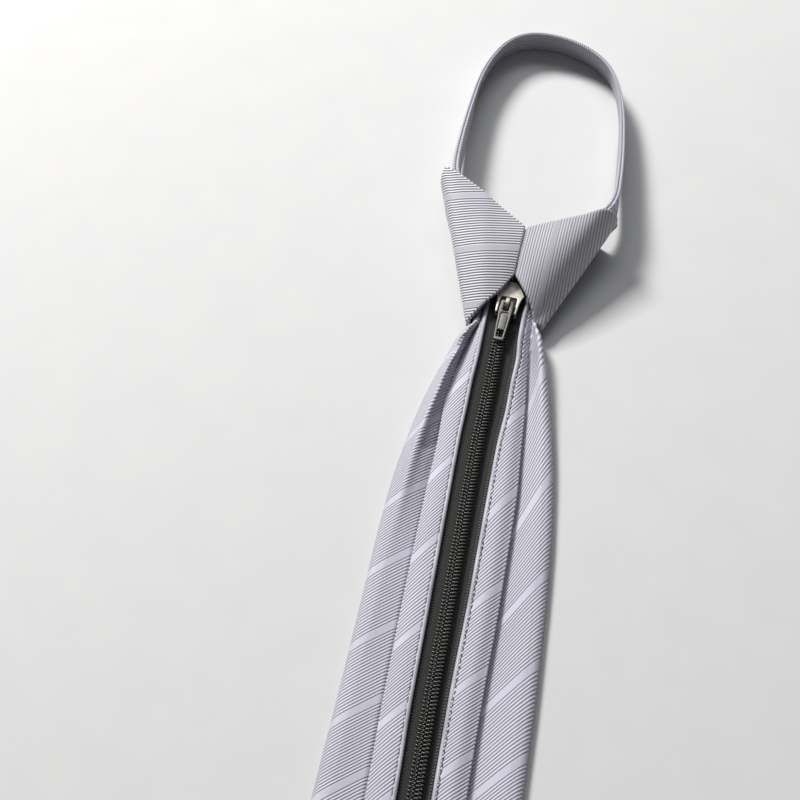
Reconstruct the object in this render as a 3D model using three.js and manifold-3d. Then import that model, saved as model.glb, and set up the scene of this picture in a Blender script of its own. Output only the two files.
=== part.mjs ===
// A slim ready-tied necktie with a zipper, lying face down, zipper side up.
// Millimetres. +Z up, the table at z = 0, +Y from the tip towards the neck loop, +X to the right of someone who looks at the zipper with the loop away from them.
// The tables are in the tie's own plan frame: y = 0 is close to the lower edge of the knot and x = 0 its middle. The whole group is moved at the end so that the origin is the middle of the bounding box's underside.
import * as THREE from "three";
import { mergeVertices } from "three/addons/utils/BufferGeometryUtils.js";
import Module from "manifold-3d";

const wasm = await Module();
wasm.setup();

// ---- driving sizes -------------------------------------------------------
const BLADE_WALL = 1.2; // folded cloth with its interlining
const STRIP_WALL = 1.3; // two layers of cloth, pressed
const TAPE_WALL = 0.6; // woven zipper tape
const KNOT_WALL = 1.6; // cloth and interlining of the knot
const BAND_HEIGHT = 12.6; // width of the neck band, which stands on its edge
const COIL_WIDTH = 2.0; // one half of the #3 coil chain, seen from above
const COIL_HEIGHT = 1.9;
const COIL_SPLIT = 0.16; // half of the gap between the two halves
const TAPE_HIDDEN = 3.0; // how far the tape runs under the fabric strips
const TIP_Y = -427; // tip of the blade, 48 cm from the top of the knot
const ZIP_END_Y = -338; // lower end of the fabric strips
const COIL_END_Y = -330; // lower end of the zipper teeth
const STRIP_TOP_Y = 14; // the strips and the tape go on inside the knot up to here
const COIL_TOP_Y = 0.6; // the coil ends inside the slider, before its dividing post
const SLIDER_ANGLE = -4.6; // degrees about Z: the slider stands in line with the chain
const SLIDER_AT = { x: -1.32, y: -0.6, z: 4.8 }; // hinge line in plan, and the underside of the lower plate
const PULL = { length: 15.4, top: 4.8, bottom: 3.2, thick: 0.9, drop: 8 }; // drop: degrees that its end hangs down to the chain

// ---- tables --------------------------------------------------------------
// Blade: a row for each section. xl, xr are the folded edges; fl, fr the free edges of the flaps; hl, hr the height of each flap's crest; cl, cr how far the crest lies in from the edge;
// zl, zr the height of the free edges; zb the underside.
const BLADE = [
  { y: 13, xl: -11.6, fl: -10.0, hl: 6.6, cl: 1.3, zl: 6.2, xr: 9.2, fr: 8, hr: 6.6, cr: 0.9, zr: 6.2, zb: 2.0 },
  { y: 4, xl: -12.0, fl: -10.3, hl: 7.2, cl: 1.4, zl: 6.4, xr: 9.3, fr: 8, hr: 6.8, cr: 0.9, zr: 6.2, zb: 2.0 },
  { y: -4, xl: -12.0, fl: -10.5, hl: 7.4, cl: 1.5, zl: 6.2, xr: 9.4, fr: 8.1, hr: 6.9, cr: 0.9, zr: 5.9, zb: 2.0 },
  { y: -7.8, xl: -12.4, fl: -11.2, hl: 8.0, cl: 1.6, zl: 5.8, xr: 11, fr: 8.2, hr: 7.5, cr: 1.3, zr: 5.4, zb: 2.0 },
  { y: -10.2, xl: -14.2, fl: -11.8, hl: 8.6, cl: 1.7, zl: 5.4, xr: 11.9, fr: 8.1, hr: 8.0, cr: 1.4, zr: 5.0, zb: 1.8 },
  { y: -14, xl: -16.2, fl: -12.8, hl: 8.8, cl: 1.9, zl: 4.8, xr: 12.8, fr: 8.0, hr: 8.2, cr: 1.5, zr: 4.5, zb: 1.5 },
  { y: -20, xl: -18.2, fl: -13.7, hl: 8.0, cl: 2.1, zl: 4.2, xr: 14.4, fr: 7.9, hr: 7.5, cr: 1.8, zr: 3.9, zb: 0.9 },
  { y: -27, xl: -20.3, fl: -14.1, hl: 7.2, cl: 2.4, zl: 3.8, xr: 15.9, fr: 7.7, hr: 6.8, cr: 2.1, zr: 3.6, zb: 0.35 },
  { y: -35, xl: -22.6, fl: -14.2, hl: 6.5, cl: 2.8, zl: 3.5, xr: 17.4, fr: 7.5, hr: 6.2, cr: 2.4, zr: 3.4, zb: 0 },
  { y: -45, xl: -24.8, fl: -13.7, hl: 5.8, cl: 3.2, zl: 3.4, xr: 19.1, fr: 7.5, hr: 5.6, cr: 2.7, zr: 3.4, zb: 0 },
  { y: -56, xl: -26.6, fl: -13.6, hl: 5.3, cl: 3.4, zl: 3.4, xr: 20.8, fr: 7.7, hr: 5.2, cr: 3.0, zr: 3.4, zb: 0 },
  { y: -70, xl: -28.3, fl: -14.0, hl: 4.9, cl: 3.6, zl: 3.4, xr: 22.4, fr: 8.0, hr: 4.8, cr: 3.3, zr: 3.4, zb: 0 },
  { y: -90, xl: -29.5, fl: -14.5, hl: 4.5, cl: 3.8, zl: 3.4, xr: 24.0, fr: 8.3, hr: 4.5, cr: 3.6, zr: 3.4, zb: 0 },
  { y: -114, xl: -30.2, fl: -14.9, hl: 4.3, cl: 4.0, zl: 3.4, xr: 24.9, fr: 8.1, hr: 4.3, cr: 3.8, zr: 3.4, zb: 0 },
  { y: -147, xl: -31.3, fl: -15.1, hl: 4.2, cl: 4.0, zl: 3.4, xr: 25.5, fr: 7.5, hr: 4.2, cr: 4.0, zr: 3.4, zb: 0 },
  { y: -180, xl: -32.6, fl: -14.8, hl: 4.2, cl: 4.0, zl: 3.4, xr: 25.4, fr: 7.3, hr: 4.2, cr: 4.0, zr: 3.4, zb: 0 },
  { y: -230, xl: -33.7, fl: -14.8, hl: 4.2, cl: 4.0, zl: 3.4, xr: 25.4, fr: 7.2, hr: 4.2, cr: 4.0, zr: 3.4, zb: 0 },
  { y: -285, xl: -34.4, fl: -14.8, hl: 4.2, cl: 4.0, zl: 3.4, xr: 25.4, fr: 7.1, hr: 4.2, cr: 4.0, zr: 3.4, zb: 0 },
  { y: -325, xl: -34.8, fl: -13.8, hl: 4.2, cl: 4.0, zl: 3.4, xr: 25.2, fr: 6.0, hr: 4.2, cr: 4.0, zr: 3.4, zb: 0 },
  { y: -345, xl: -35.0, fl: -10.6, hl: 4.1, cl: 4.0, zl: 3.4, xr: 25.0, fr: 1.8, hr: 4.1, cr: 4.0, zr: 3.4, zb: 0 },
  { y: -360, xl: -35.2, fl: -6.9, hl: 4.0, cl: 4.0, zl: 3.4, xr: 24.8, fr: -2.9, hr: 4.0, cr: 4.0, zr: 3.4, zb: 0 },
  { y: -378, xl: -35.3, fl: -5.7, hl: 3.8, cl: 3.6, zl: 3.3, xr: 24.7, fr: -4.7, hr: 3.8, cr: 3.6, zr: 3.3, zb: 0 },
  { y: -397, xl: -34.9, fl: -5.7, hl: 3.6, cl: 3.2, zl: 3.2, xr: 24.4, fr: -4.7, hr: 3.6, cr: 3.2, zr: 3.2, zb: 0 },
  { y: -402, xl: -32.2, fl: -5.7, hl: 3.4, cl: 3.0, zl: 3.2, xr: 21.8, fr: -4.7, hr: 3.4, cr: 3.0, zr: 3.2, zb: 0 },
  { y: -424, xl: -11.1, fl: -5.7, hl: 3.1, cl: 1.6, zl: 3.1, xr: 0.7, fr: -4.7, hr: 3.1, cr: 1.6, zr: 3.1, zb: 0 },
  { y: TIP_Y, xl: -8.1, fl: -5.65, hl: 3.0, cl: 1.0, zl: 3.0, xr: -2.3, fr: -4.75, hr: 3.0, cr: 1.0, zr: 3.0, zb: 0 },
];
// Zipper: cx is the line between the teeth; il, ir the folded inner edges of the fabric strips; ol, or_ their outer edges; lift how far everything rises into the knot.
const ZIP = [
  { y: 14, cx: 0.1, il: -8.0, ol: -9.0, ir: 5.1, or_: 6.7, lift: 2.3 },
  { y: 4, cx: -0.9, il: -7.9, ol: -9.3, ir: 4.9, or_: 6.9, lift: 2.3 },
  { y: -4, cx: -1.6, il: -8.1, ol: -9.4, ir: 4.5, or_: 7.1, lift: 2.3 },
  { y: -12, cx: -2.3, il: -8.3, ol: -10.9, ir: 4.4, or_: 7.2, lift: 2.1 },
  { y: -20, cx: -2.6, il: -8.5, ol: -12.6, ir: 4.8, or_: 7.6, lift: 1.6 },
  { y: -30, cx: -2.75, il: -9.1, ol: -15.0, ir: 4.3, or_: 8.5, lift: 1.0 },
  { y: -40, cx: -3.1, il: -9.4, ol: -16.1, ir: 4.1, or_: 9.3, lift: 0.5 },
  { y: -55, cx: -3.7, il: -9.9, ol: -15.9, ir: 3.1, or_: 10.0, lift: 0.1 },
  { y: -75, cx: -3.95, il: -10.0, ol: -16.6, ir: 2.7, or_: 10.9, lift: 0 },
  { y: -112, cx: -4.1, il: -10.0, ol: -17.3, ir: 2.2, or_: 10.7, lift: 0 },
  { y: -146, cx: -4.4, il: -10.1, ol: -17.5, ir: 1.3, or_: 9.9, lift: 0 },
  { y: -177, cx: -4.3, il: -9.7, ol: -17.3, ir: 1.2, or_: 9.7, lift: 0 },
  { y: -250, cx: -4.6, il: -10.2, ol: -17.5, ir: 1.0, or_: 9.6, lift: 0 },
  { y: ZIP_END_Y, cx: -4.9, il: -10.5, ol: -16.0, ir: 0.7, or_: 6.4, lift: 0 },
];
const STRIP_Z = { inner: 4.5, outer: 3.95 }; // underside of a fabric strip at its inner fold and at its outer edge
const TAPE_Z = 3.5; // underside of the tape
const COIL_Z = 4.4; // underside of the coil

// Knot: a column for each line that runs from the knot's lower edge (b) to its upper edge (t). x and z go from b to t; bulge lifts the middle of the line.
// The lines go from the centre seam round the left side, across the front (underneath) and round the right side back to the seam.
const KNOT = [
  { line: "seam_left", yb: 10.2, xb: -0.75, zb: 14.1, yt: 26.4, xt: 0.7, zt: 18.9, bulge: 0.3 },
  { line: "wing_left_inner", yb: 3.6, xb: -4.5, zb: 12.9, yt: 32.9, xt: -8.7, zt: 20.8, bulge: 1.2 },
  { line: "wing_left_mid", yb: -1.8, xb: -9.2, zb: 11.4, yt: 38.2, xt: -16.6, zt: 22.7, bulge: 1.6 },
  { line: "shoulder_left", yb: -6, xb: -13, zb: 8.7, yt: 44.5, xt: -28.2, zt: 24.1, bulge: 0.6 },
  { line: "side_left_upper", yb: -7.3, xb: -14.3, zb: 6.6, yt: 44.4, xt: -30.6, zt: 20.6, bulge: 0.2 },
  { line: "side_left", yb: -7.6, xb: -13.9, zb: 3.6, yt: 43.8, xt: -29.4, zt: 11.5, bulge: 0 },
  { line: "side_left_lower", yb: -8, xb: -12.6, zb: 0.9, yt: 42.6, xt: -27.6, zt: 2, bulge: -0.2 },
  { line: "front_left", yb: -8.4, xb: -10.6, zb: 0, yt: 42, xt: -25.6, zt: 0, bulge: 0 },
  { line: "front_left_mid", yb: -8.4, xb: -5.5, zb: 0, yt: 41.0, xt: -13.0, zt: 0, bulge: 0 },
  { line: "front_mid", yb: -8.4, xb: -0.9, zb: 0, yt: 40.0, xt: 0, zt: 0, bulge: 0 },
  { line: "front_right_mid", yb: -8.0, xb: 3.6, zb: 0, yt: 39.0, xt: 13.0, zt: 0, bulge: 0 },
  { line: "front_right", yb: -5, xb: 8, zb: 0, yt: 38, xt: 24.4, zt: 0, bulge: 0 },
  { line: "side_right_lower", yb: -4.6, xb: 10.2, zb: 1.2, yt: 37.8, xt: 27.4, zt: 2.4, bulge: -0.2 },
  { line: "side_right", yb: -4.2, xb: 11.3, zb: 4.2, yt: 38, xt: 29.9, zt: 10, bulge: 0 },
  { line: "side_right_upper", yb: -4.4, xb: 11.4, zb: 7.2, yt: 38, xt: 31.2, zt: 17.5, bulge: 0.2 },
  { line: "shoulder_right", yb: -3.6, xb: 8.9, zb: 9.4, yt: 36.8, xt: 26.6, zt: 22.8, bulge: 0.7 },
  { line: "wing_right_mid", yb: 0.8, xb: 6.6, zb: 11.8, yt: 32.6, xt: 18.2, zt: 21.8, bulge: 1.3 },
  { line: "wing_right_inner", yb: 5.4, xb: 3, zb: 13.4, yt: 29.4, xt: 9.3, zt: 20.2, bulge: 1 },
  { line: "seam_right", yb: 10.2, xb: -0.05, zb: 14.1, yt: 26.4, xt: 1.4, zt: 18.9, bulge: 0.3 },
];

// Neck band, folded twice: the middle of its upper edge in plan, from inside the knot's left side round to its right side; how high it stands off the table; how far its lower edge stands out from the upper one; its thickness.
const BAND = [
  { x: -20.3, y: 30.5, lift: 5.7, lean: 0, wall: 2.8 },
  { x: -22.3, y: 36.5, lift: 5.7, lean: 0, wall: 2.8 },
  { x: -24.5, y: 43, lift: 5.6, lean: 0, wall: 2.8 },
  { x: -26.3, y: 49.3, lift: 5.1, lean: 0, wall: 2.7 },
  { x: -27.2, y: 55.4, lift: 4.3, lean: 0, wall: 2.5 },
  { x: -27.4, y: 63.9, lift: 3.2, lean: 0, wall: 2.3 },
  { x: -27.1, y: 76.8, lift: 1.8, lean: 0.2, wall: 2.1 },
  { x: -26.4, y: 89.5, lift: 0.7, lean: 0.6, wall: 1.9 },
  { x: -25.2, y: 102.5, lift: 0, lean: 1.6, wall: 1.7 },
  { x: -23, y: 112.7, lift: 0, lean: 2.8, wall: 1.5 },
  { x: -19.4, y: 121.8, lift: 0, lean: 3.7, wall: 1.35 },
  { x: -15.1, y: 127.4, lift: 0, lean: 4.1, wall: 1.25 },
  { x: -9.9, y: 130.4, lift: 0, lean: 4.2, wall: 1.2 },
  { x: -4, y: 131.2, lift: 0, lean: 4.2, wall: 1.2 },
  { x: 3, y: 130.2, lift: 0, lean: 4.1, wall: 1.2 },
  { x: 10, y: 127.5, lift: 0, lean: 3.9, wall: 1.25 },
  { x: 16.2, y: 123.3, lift: 0, lean: 3.5, wall: 1.3 },
  { x: 21, y: 117.7, lift: 0, lean: 2.8, wall: 1.35 },
  { x: 24.4, y: 110.6, lift: 0, lean: 2, wall: 1.45 },
  { x: 27, y: 101, lift: 0.2, lean: 1.2, wall: 1.6 },
  { x: 28.5, y: 90.9, lift: 0.6, lean: 0.6, wall: 1.8 },
  { x: 29.4, y: 80.3, lift: 1.3, lean: 0.2, wall: 2 },
  { x: 30, y: 68.5, lift: 2.4, lean: 0, wall: 2.1 },
  { x: 30.2, y: 56.7, lift: 3.8, lean: 0, wall: 2.2 },
  { x: 29.8, y: 48.2, lift: 4.8, lean: 0, wall: 2.3 },
  { x: 27.7, y: 41.3, lift: 5.6, lean: 0, wall: 2.4 },
  { x: 23.3, y: 35.8, lift: 5.7, lean: 0, wall: 2.4 },
  { x: 19.2, y: 29.6, lift: 4.6, lean: 0, wall: 2.4 },
];

// ---- small tools ---------------------------------------------------------
const V = (x, y, z) => new THREE.Vector3(x, y, z);
const mix = (a, b, t) => a + (b - a) * t;

// A named column of a table at y, smooth between the rows (monotone cubic, so that nothing overshoots a row).
function at(table, key, y) {
  const n = table.length;
  const d = Math.sign(table[n - 1].y - table[0].y);
  let i = 0;
  while (i < n - 2 && (y - table[i + 1].y) * d > 0) i++;
  const slope = (k) =>
    (table[k + 1][key] - table[k][key]) / (table[k + 1].y - table[k].y);
  const tangent = (k) => {
    if (k <= 0) return slope(0);
    if (k >= n - 1) return slope(n - 2);
    const a = slope(k - 1),
      b = slope(k);
    return a * b <= 0 ? 0 : (2 * a * b) / (a + b);
  };
  const h = table[i + 1].y - table[i].y;
  const t = THREE.MathUtils.clamp((y - table[i].y) / h, 0, 1);
  const t2 = t * t,
    t3 = t2 * t;
  return (
    (2 * t3 - 3 * t2 + 1) * table[i][key] +
    (t3 - 2 * t2 + t) * h * tangent(i) +
    (3 * t2 - 2 * t3) * table[i + 1][key] +
    (t3 - t2) * h * tangent(i + 1)
  );
}

function signedVolume(position, index) {
  let v = 0;
  const a = V(),
    b = V(),
    c = V();
  for (let i = 0; i < index.length; i += 3) {
    a.fromBufferAttribute(position, index[i]);
    b.fromBufferAttribute(position, index[i + 1]);
    c.fromBufferAttribute(position, index[i + 2]);
    v += a.dot(b.cross(c)) / 6;
  }
  return v;
}

function geometryOf(points, index) {
  const g = new THREE.BufferGeometry();
  g.setAttribute(
    "position",
    new THREE.Float32BufferAttribute(points.flatMap((p) => [p.x, p.y, p.z]), 3),
  );
  if (signedVolume(g.attributes.position, index) < 0)
    for (let i = 0; i < index.length; i += 3)
      [index[i + 1], index[i + 2]] = [index[i + 2], index[i + 1]];
  g.setIndex(index);
  g.computeVertexNormals();
  return g;
}

// A sheet of cloth with a wall: pair(i, j) gives the points on its two faces. Both faces and the four edges are closed.
function slab(nu, nv, pair) {
  const points = [],
    index = [],
    row = nv + 1,
    half = (nu + 1) * row;
  const under = [];
  for (let i = 0; i <= nu; i++)
    for (let j = 0; j <= nv; j++) {
      const [a, b] = pair(i, j);
      points.push(a);
      under.push(b);
    }
  points.push(...under);
  const quad = (a, b, c, d) => index.push(a, b, c, a, c, d);
  const p = (i, j) => i * row + j,
    q = (i, j) => half + i * row + j;
  for (let i = 0; i < nu; i++)
    for (let j = 0; j < nv; j++) {
      quad(p(i, j), p(i + 1, j), p(i + 1, j + 1), p(i, j + 1));
      quad(q(i, j), q(i, j + 1), q(i + 1, j + 1), q(i + 1, j));
    }
  for (let i = 0; i < nu; i++) {
    quad(p(i, 0), q(i, 0), q(i + 1, 0), p(i + 1, 0));
    quad(p(i, nv), p(i + 1, nv), q(i + 1, nv), q(i, nv));
  }
  for (let j = 0; j < nv; j++) {
    quad(p(0, j), p(0, j + 1), q(0, j + 1), q(0, j));
    quad(p(nu, j), q(nu, j), q(nu, j + 1), p(nu, j + 1));
  }
  return geometryOf(points, index);
}

// The two faces of a wall along a line drawn in one plane: each point moved half the wall to both sides.
function wallAlong(line, wall) {
  return line.map((p, i) => {
    const a = line[Math.max(i - 1, 0)],
      b = line[Math.min(i + 1, line.length - 1)];
    const dx = b.x - a.x,
      dy = b.y - a.y,
      l = Math.hypot(dx, dy) || 1;
    const n = new THREE.Vector2(-dy / l, dx / l).multiplyScalar(wall / 2);
    return [p.clone().add(n), p.clone().sub(n)];
  });
}

function solid(geometry) {
  const g = geometry.clone();
  for (const name of Object.keys(g.attributes))
    if (name !== "position") g.deleteAttribute(name);
  const m = mergeVertices(g, 1e-4);
  return new wasm.Manifold(
    new wasm.Mesh({
      numProp: 3,
      vertProperties: m.attributes.position.array,
      triVerts: new Uint32Array(m.index.array),
    }),
  );
}

function geometryFrom(body) {
  const m = body.getMesh(),
    n = m.numProp,
    flat = [];
  for (let i = 0; i < m.numVert; i++)
    flat.push(...m.vertProperties.subarray(i * n, i * n + 3));
  const g = new THREE.BufferGeometry();
  g.setAttribute("position", new THREE.Float32BufferAttribute(flat, 3));
  g.setIndex([...m.triVerts]);
  g.computeVertexNormals();
  return g;
}

function box(x0, x1, y0, y1, z0, z1) {
  return new THREE.BoxGeometry(x1 - x0, y1 - y0, z1 - z0).translate(
    (x0 + x1) / 2,
    (y0 + y1) / 2,
    (z0 + z1) / 2,
  );
}

// A flat outline with holes, the outline counter-clockwise, made solid from z = 0 upwards.
function cutOut(outline, holes, thick) {
  const points = outline.map(([x, y]) => new THREE.Vector2(x, y));
  if (THREE.ShapeUtils.isClockWise(points)) points.reverse();
  const shape = new THREE.Shape(points);
  for (const hole of holes)
    shape.holes.push(
      new THREE.Path(hole.map(([x, y]) => new THREE.Vector2(x, y))),
    );
  return new THREE.ExtrudeGeometry(shape, { depth: thick, bevelEnabled: false });
}

// An outline in plan, cut out upwards from z0.
function plate(outline, holes, z0, thick) {
  return cutOut(outline, holes, thick).translate(0, 0, z0);
}

// ---- cloth ---------------------------------------------------------------
// One section of the blade, from the left flap's free edge over the folded edge, across the panel and up to the right flap's free edge.
function bladeLine(y) {
  const g = (k) => at(BLADE, k, y),
    h = BLADE_WALL / 2;
  const side = (edge, free, crestIn, crestZ, freeZ, zb, s) => {
    // s is +1 for the left side, where "in" is towards +X
    const top = crestZ - h,
      foot = zb + h,
      e = Math.min(2.4, crestIn * 0.8);
    const crest = edge + s * crestIn;
    return [
      [free, freeZ - h],
      [mix(free, crest, 0.38), mix(freeZ, crestZ, 0.13) - h],
      [mix(free, crest, 0.72), mix(freeZ, crestZ, 0.66) - h],
      [crest, top],
      [edge + s * (h + crestIn * 0.28), mix(foot, top, 0.88)],
      [edge + s * h, mix(foot, top, 0.52)],
      [edge + s * (h + e * 0.3), mix(foot, top, 0.14)],
      [edge + s * (h + e), foot],
    ];
  };
  const zb = g("zb");
  const left = side(g("xl"), g("fl"), g("cl"), g("hl"), g("zl"), zb, 1);
  const right = side(g("xr"), g("fr"), g("cr"), g("hr"), g("zr"), zb, -1);
  const mid = [(left[7][0] + right[7][0]) / 2, zb + h];
  return [...left, mid, ...right.reverse()].map(
    ([x, z]) => new THREE.Vector2(x, z),
  );
}

function bladeGeometry() {
  const stations = BLADE.map((r) => r.y);
  const sections = stations.map((y) => wallAlong(bladeLine(y), BLADE_WALL));
  return slab(sections[0].length - 1, stations.length - 1, (i, j) =>
    sections[j][i].map((p) => V(p.x, stations[j], p.y)),
  );
}

function knotGeometry() {
  const rows = 9;
  const point = (k, j) => {
    const c = KNOT[k],
      t = j / rows;
    const s = Math.sin(Math.PI * t);
    return V(mix(c.xb, c.xt, t), mix(c.yb, c.yt, t), mix(c.zb, c.zt, t) + c.bulge * s);
  };
  const last = KNOT.length - 1;
  return slab(last, rows, (i, j) => {
    const p = point(i, j);
    // inward normal from the neighbours in the sheet
    const du = point(Math.min(i + 1, last), j).sub(point(Math.max(i - 1, 0), j));
    const dv = point(i, Math.min(j + 1, rows)).sub(point(i, Math.max(j - 1, 0)));
    const n = dv.cross(du).normalize();
    // the wall goes towards the inside of the knot and stays level along the front, so that the knot lies flat
    if (n.dot(V(-p.x * 0.6, 0, 8 - p.z)) < 0) n.negate();
    return [p, p.clone().addScaledVector(n, KNOT_WALL)];
  });
}

const ZIP_ROWS = [STRIP_TOP_Y, 9, 6, 3.6, 1.6, 0, -4, -8, -12, -16, -20, -25, -30, -40, -55, -75, -112, -146, -177, -250, ZIP_END_Y];

function stripGeometry(side) {
  const inner = side < 0 ? "il" : "ir",
    outer = side < 0 ? "ol" : "or_";
  return slab(4, ZIP_ROWS.length - 1, (i, j) => {
    const y = ZIP_ROWS[j],
      lift = at(ZIP, "lift", y);
    const x = mix(at(ZIP, inner, y), at(ZIP, outer, y), i / 4);
    const z = mix(STRIP_Z.inner, STRIP_Z.outer, (i / 4) ** 1.4) + lift;
    return [V(x, y, z + STRIP_WALL), V(x, y, z)];
  });
}

function tapeGeometry(side) {
  const edge = side < 0 ? "il" : "ir";
  return slab(2, ZIP_ROWS.length - 1, (i, j) => {
    const y = ZIP_ROWS[j],
      lift = at(ZIP, "lift", y);
    const room = Math.abs(at(ZIP, side < 0 ? "ol" : "or_", y) - at(ZIP, edge, y));
    const hidden = Math.min(TAPE_HIDDEN, room * 0.5);
    // above the closed chain the two halves part round the slider's post
    const parted = Math.min(0.2 + Math.max(0, y - 1) * 0.5, 1.15);
    const x = mix(
      at(ZIP, "cx", y) + side * parted,
      at(ZIP, edge, y) + side * hidden,
      i / 2,
    );
    return [V(x, y, TAPE_Z + lift + TAPE_WALL), V(x, y, TAPE_Z + lift)];
  });
}

function coilGeometry(side) {
  const ys = [COIL_TOP_Y, ...ZIP_ROWS.filter((y) => y < COIL_TOP_Y && y > COIL_END_Y), COIL_END_Y];
  const crown = [0.55, 1, 0.86, 0.4]; // height of the half coil across its width
  return slab(3, ys.length - 1, (i, j) => {
    const y = ys[j],
      z = COIL_Z + at(ZIP, "lift", y);
    const x = at(ZIP, "cx", y) + side * (COIL_SPLIT + (COIL_WIDTH * i) / 3);
    return [V(x, y, z + COIL_HEIGHT * crown[i]), V(x, y, z)];
  });
}

function bandGeometry() {
  const n = 46,
    last = BAND.length - 1;
  const curve = new THREE.CatmullRomCurve3(
    BAND.map((r) => V(r.x, r.y, r.lift)),
    false,
    "centripetal",
  );
  const pts = Array.from({ length: n + 1 }, (_, i) => curve.getPoint(i / n));
  const row = (key, i) => {
    const u = (i / n) * last,
      k = Math.min(Math.floor(u), last - 1);
    return mix(BAND[k][key], BAND[k + 1][key], u - k);
  };
  const plan = wallAlong(pts.map((p) => new THREE.Vector2(p.x, p.y)), 2); // one unit to each side
  return slab(n, 2, (i, j) => {
    const lean = row("lean", i),
      half = row("wall", i) / 2,
      low = Math.max(pts[i].z, 0);
    const high = low + Math.sqrt(BAND_HEIGHT ** 2 - lean ** 2);
    const out = plan[i][0].clone().sub(plan[i][1]).multiplyScalar(0.5);
    const at = lean * (1 - j / 2);
    return [at + half, at - half].map((d) =>
      V(pts[i].x + out.x * d, pts[i].y + out.y * d, mix(low, high, j / 2)),
    );
  });
}

// ---- slider and pull (own frame: hinge line through x = y = 0, +Y towards the knot, z = 0 under the lower plate) ----
const SLIDER = {
  nose: 9.9, // from the hinge line to the nose
  shoulderY: 4.6,
  shoulderHalf: 4.75,
  waistY: 0.4,
  waistHalf: 3.75,
  tailY: -3.6,
  tailHalf: 3.55,
  plate: 1.0,
  lowTop: 0.9,
  highBottom: 4.15,
  highTop: 5.2,
};
const HINGE_Z = 6.35; // axis of the pull above the underside of the lower plate
const BAIL = { half: 0.6, front: -1.8, back: 2.1, top: 7.75 };

function sliderOutline(grow) {
  const s = SLIDER;
  const right = [
    [0.9, s.nose],
    [2.4, s.nose - 1.2],
    [s.shoulderHalf - 0.3, s.shoulderY + 0.7],
    [s.shoulderHalf, s.shoulderY],
    [s.shoulderHalf - 0.5, s.shoulderY - 1.2],
    [s.waistHalf + 0.15, s.waistY + 1.2],
    [s.waistHalf, s.waistY],
    [s.tailHalf, s.tailY + 0.5],
    [s.tailHalf - 0.5, s.tailY],
  ].map(([x, y]) => [x + grow, y]);
  return [...right, ...right.map(([x, y]) => [-x, y]).reverse()];
}

function sliderGeometry() {
  const s = SLIDER;
  const lower = solid(plate(sliderOutline(-0.25), [], 0, s.lowTop));
  const upper = solid(plate(sliderOutline(0), [], s.highBottom, s.highTop - s.highBottom));
  const post = solid(box(-0.9, 0.9, 4.2, 8.6, s.lowTop - 0.2, s.highBottom + 0.2));
  const flange = (side) =>
    solid(
      box(
        side < 0 ? -s.tailHalf + 0.05 : 2.6,
        side < 0 ? -2.6 : s.tailHalf - 0.05,
        s.tailY + 0.2,
        1.6,
        2.35,
        s.highBottom + 0.2,
      ),
    );
  // the pocket round the pull's head
  const pocket = solid(
    plate(
      [
        [3.0, s.tailY - 1],
        [3.0, 1.6],
        [2.2, 2.9],
        [1.0, 3.4],
        [-1.0, 3.4],
        [-2.2, 2.9],
        [-3.0, 1.6],
        [-3.0, s.tailY - 1],
      ],
      [],
      s.highTop - 0.35,
      2,
    ),
  );
  // the bridge that the pull hangs on, an arch in the Y-Z plane
  const foot = s.highTop - 0.6;
  const arch = cutOut(
    [
      [BAIL.front, foot],
      [BAIL.back, foot],
      [BAIL.back, HINGE_Z],
      [BAIL.back - 0.3, BAIL.top - 0.35],
      [BAIL.back - 1.0, BAIL.top],
      [BAIL.front + 1.4, BAIL.top],
      [BAIL.front + 0.7, BAIL.top - 0.15],
      [BAIL.front, HINGE_Z + 0.2],
    ],
    [
      [
        [-0.95, foot + 0.3],
        [0.95, foot + 0.3],
        [0.95, HINGE_Z + 0.45],
        [0.55, HINGE_Z + 0.85],
        [-0.55, HINGE_Z + 0.85],
        [-0.95, HINGE_Z + 0.45],
      ],
    ],
    2 * BAIL.half,
  );
  // the drawing's x is Y and its y is Z: turn it so, and centre it on x = 0
  const bail = solid(
    arch
      .applyMatrix4(
        new THREE.Matrix4().makeBasis(V(0, 1, 0), V(0, 0, 1), V(1, 0, 0)),
      )
      .translate(-BAIL.half, 0, 0),
  );
  const body = lower
    .add(post)
    .add(upper)
    .add(flange(-1))
    .add(flange(1))
    .subtract(pocket)
    .add(bail);
  return geometryFrom(body);
}

function pullGeometry() {
  const half = (y) =>
    mix(PULL.top, PULL.bottom, THREE.MathUtils.clamp(-y / PULL.length, 0, 1)) / 2;
  const end = 0.55 - PULL.length;
  const outline = [
    [half(0) - 0.5, 0.45],
    [half(0), 0.1],
    [half(-3), -3],
    [half(-8), -8],
    [half(end), end + 0.5],
    [half(end) - 0.5, end],
  ];
  const full = [...outline, ...outline.map(([x, y]) => [-x, y]).reverse()];
  const opening = [
    [1.05, -0.45],
    [1.05, -3.4],
    [0.65, -3.7],
    [-0.65, -3.7],
    [-1.05, -3.4],
    [-1.05, -0.45],
  ];
  const window_ = [
    [half(-11) - 0.65, -10.9],
    [half(-14) - 0.65, -13.7],
    [-half(-14) + 0.65, -13.7],
    [-half(-11) + 0.65, -10.9],
  ];
  return plate(full, [opening, window_], -PULL.thick / 2, PULL.thick);
}

// ---- materials and assembly ---------------------------------------------
const cloth = (color) =>
  new THREE.MeshStandardMaterial({ color, roughness: 0.55, metalness: 0 });
const silver = cloth(0xc3c1cb);
const silverDeep = cloth(0xb6b4bf);
const tapeBlack = new THREE.MeshStandardMaterial({ color: 0x2f2f2d, roughness: 0.8, metalness: 0 });
const coilBlack = new THREE.MeshStandardMaterial({ color: 0x1c1c1b, roughness: 0.4, metalness: 0 });
const nickel = new THREE.MeshStandardMaterial({ color: 0xcfc8bd, roughness: 0.35, metalness: 0.9 });
const steel = new THREE.MeshStandardMaterial({ color: 0x9d9a95, roughness: 0.4, metalness: 0.9 });

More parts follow.
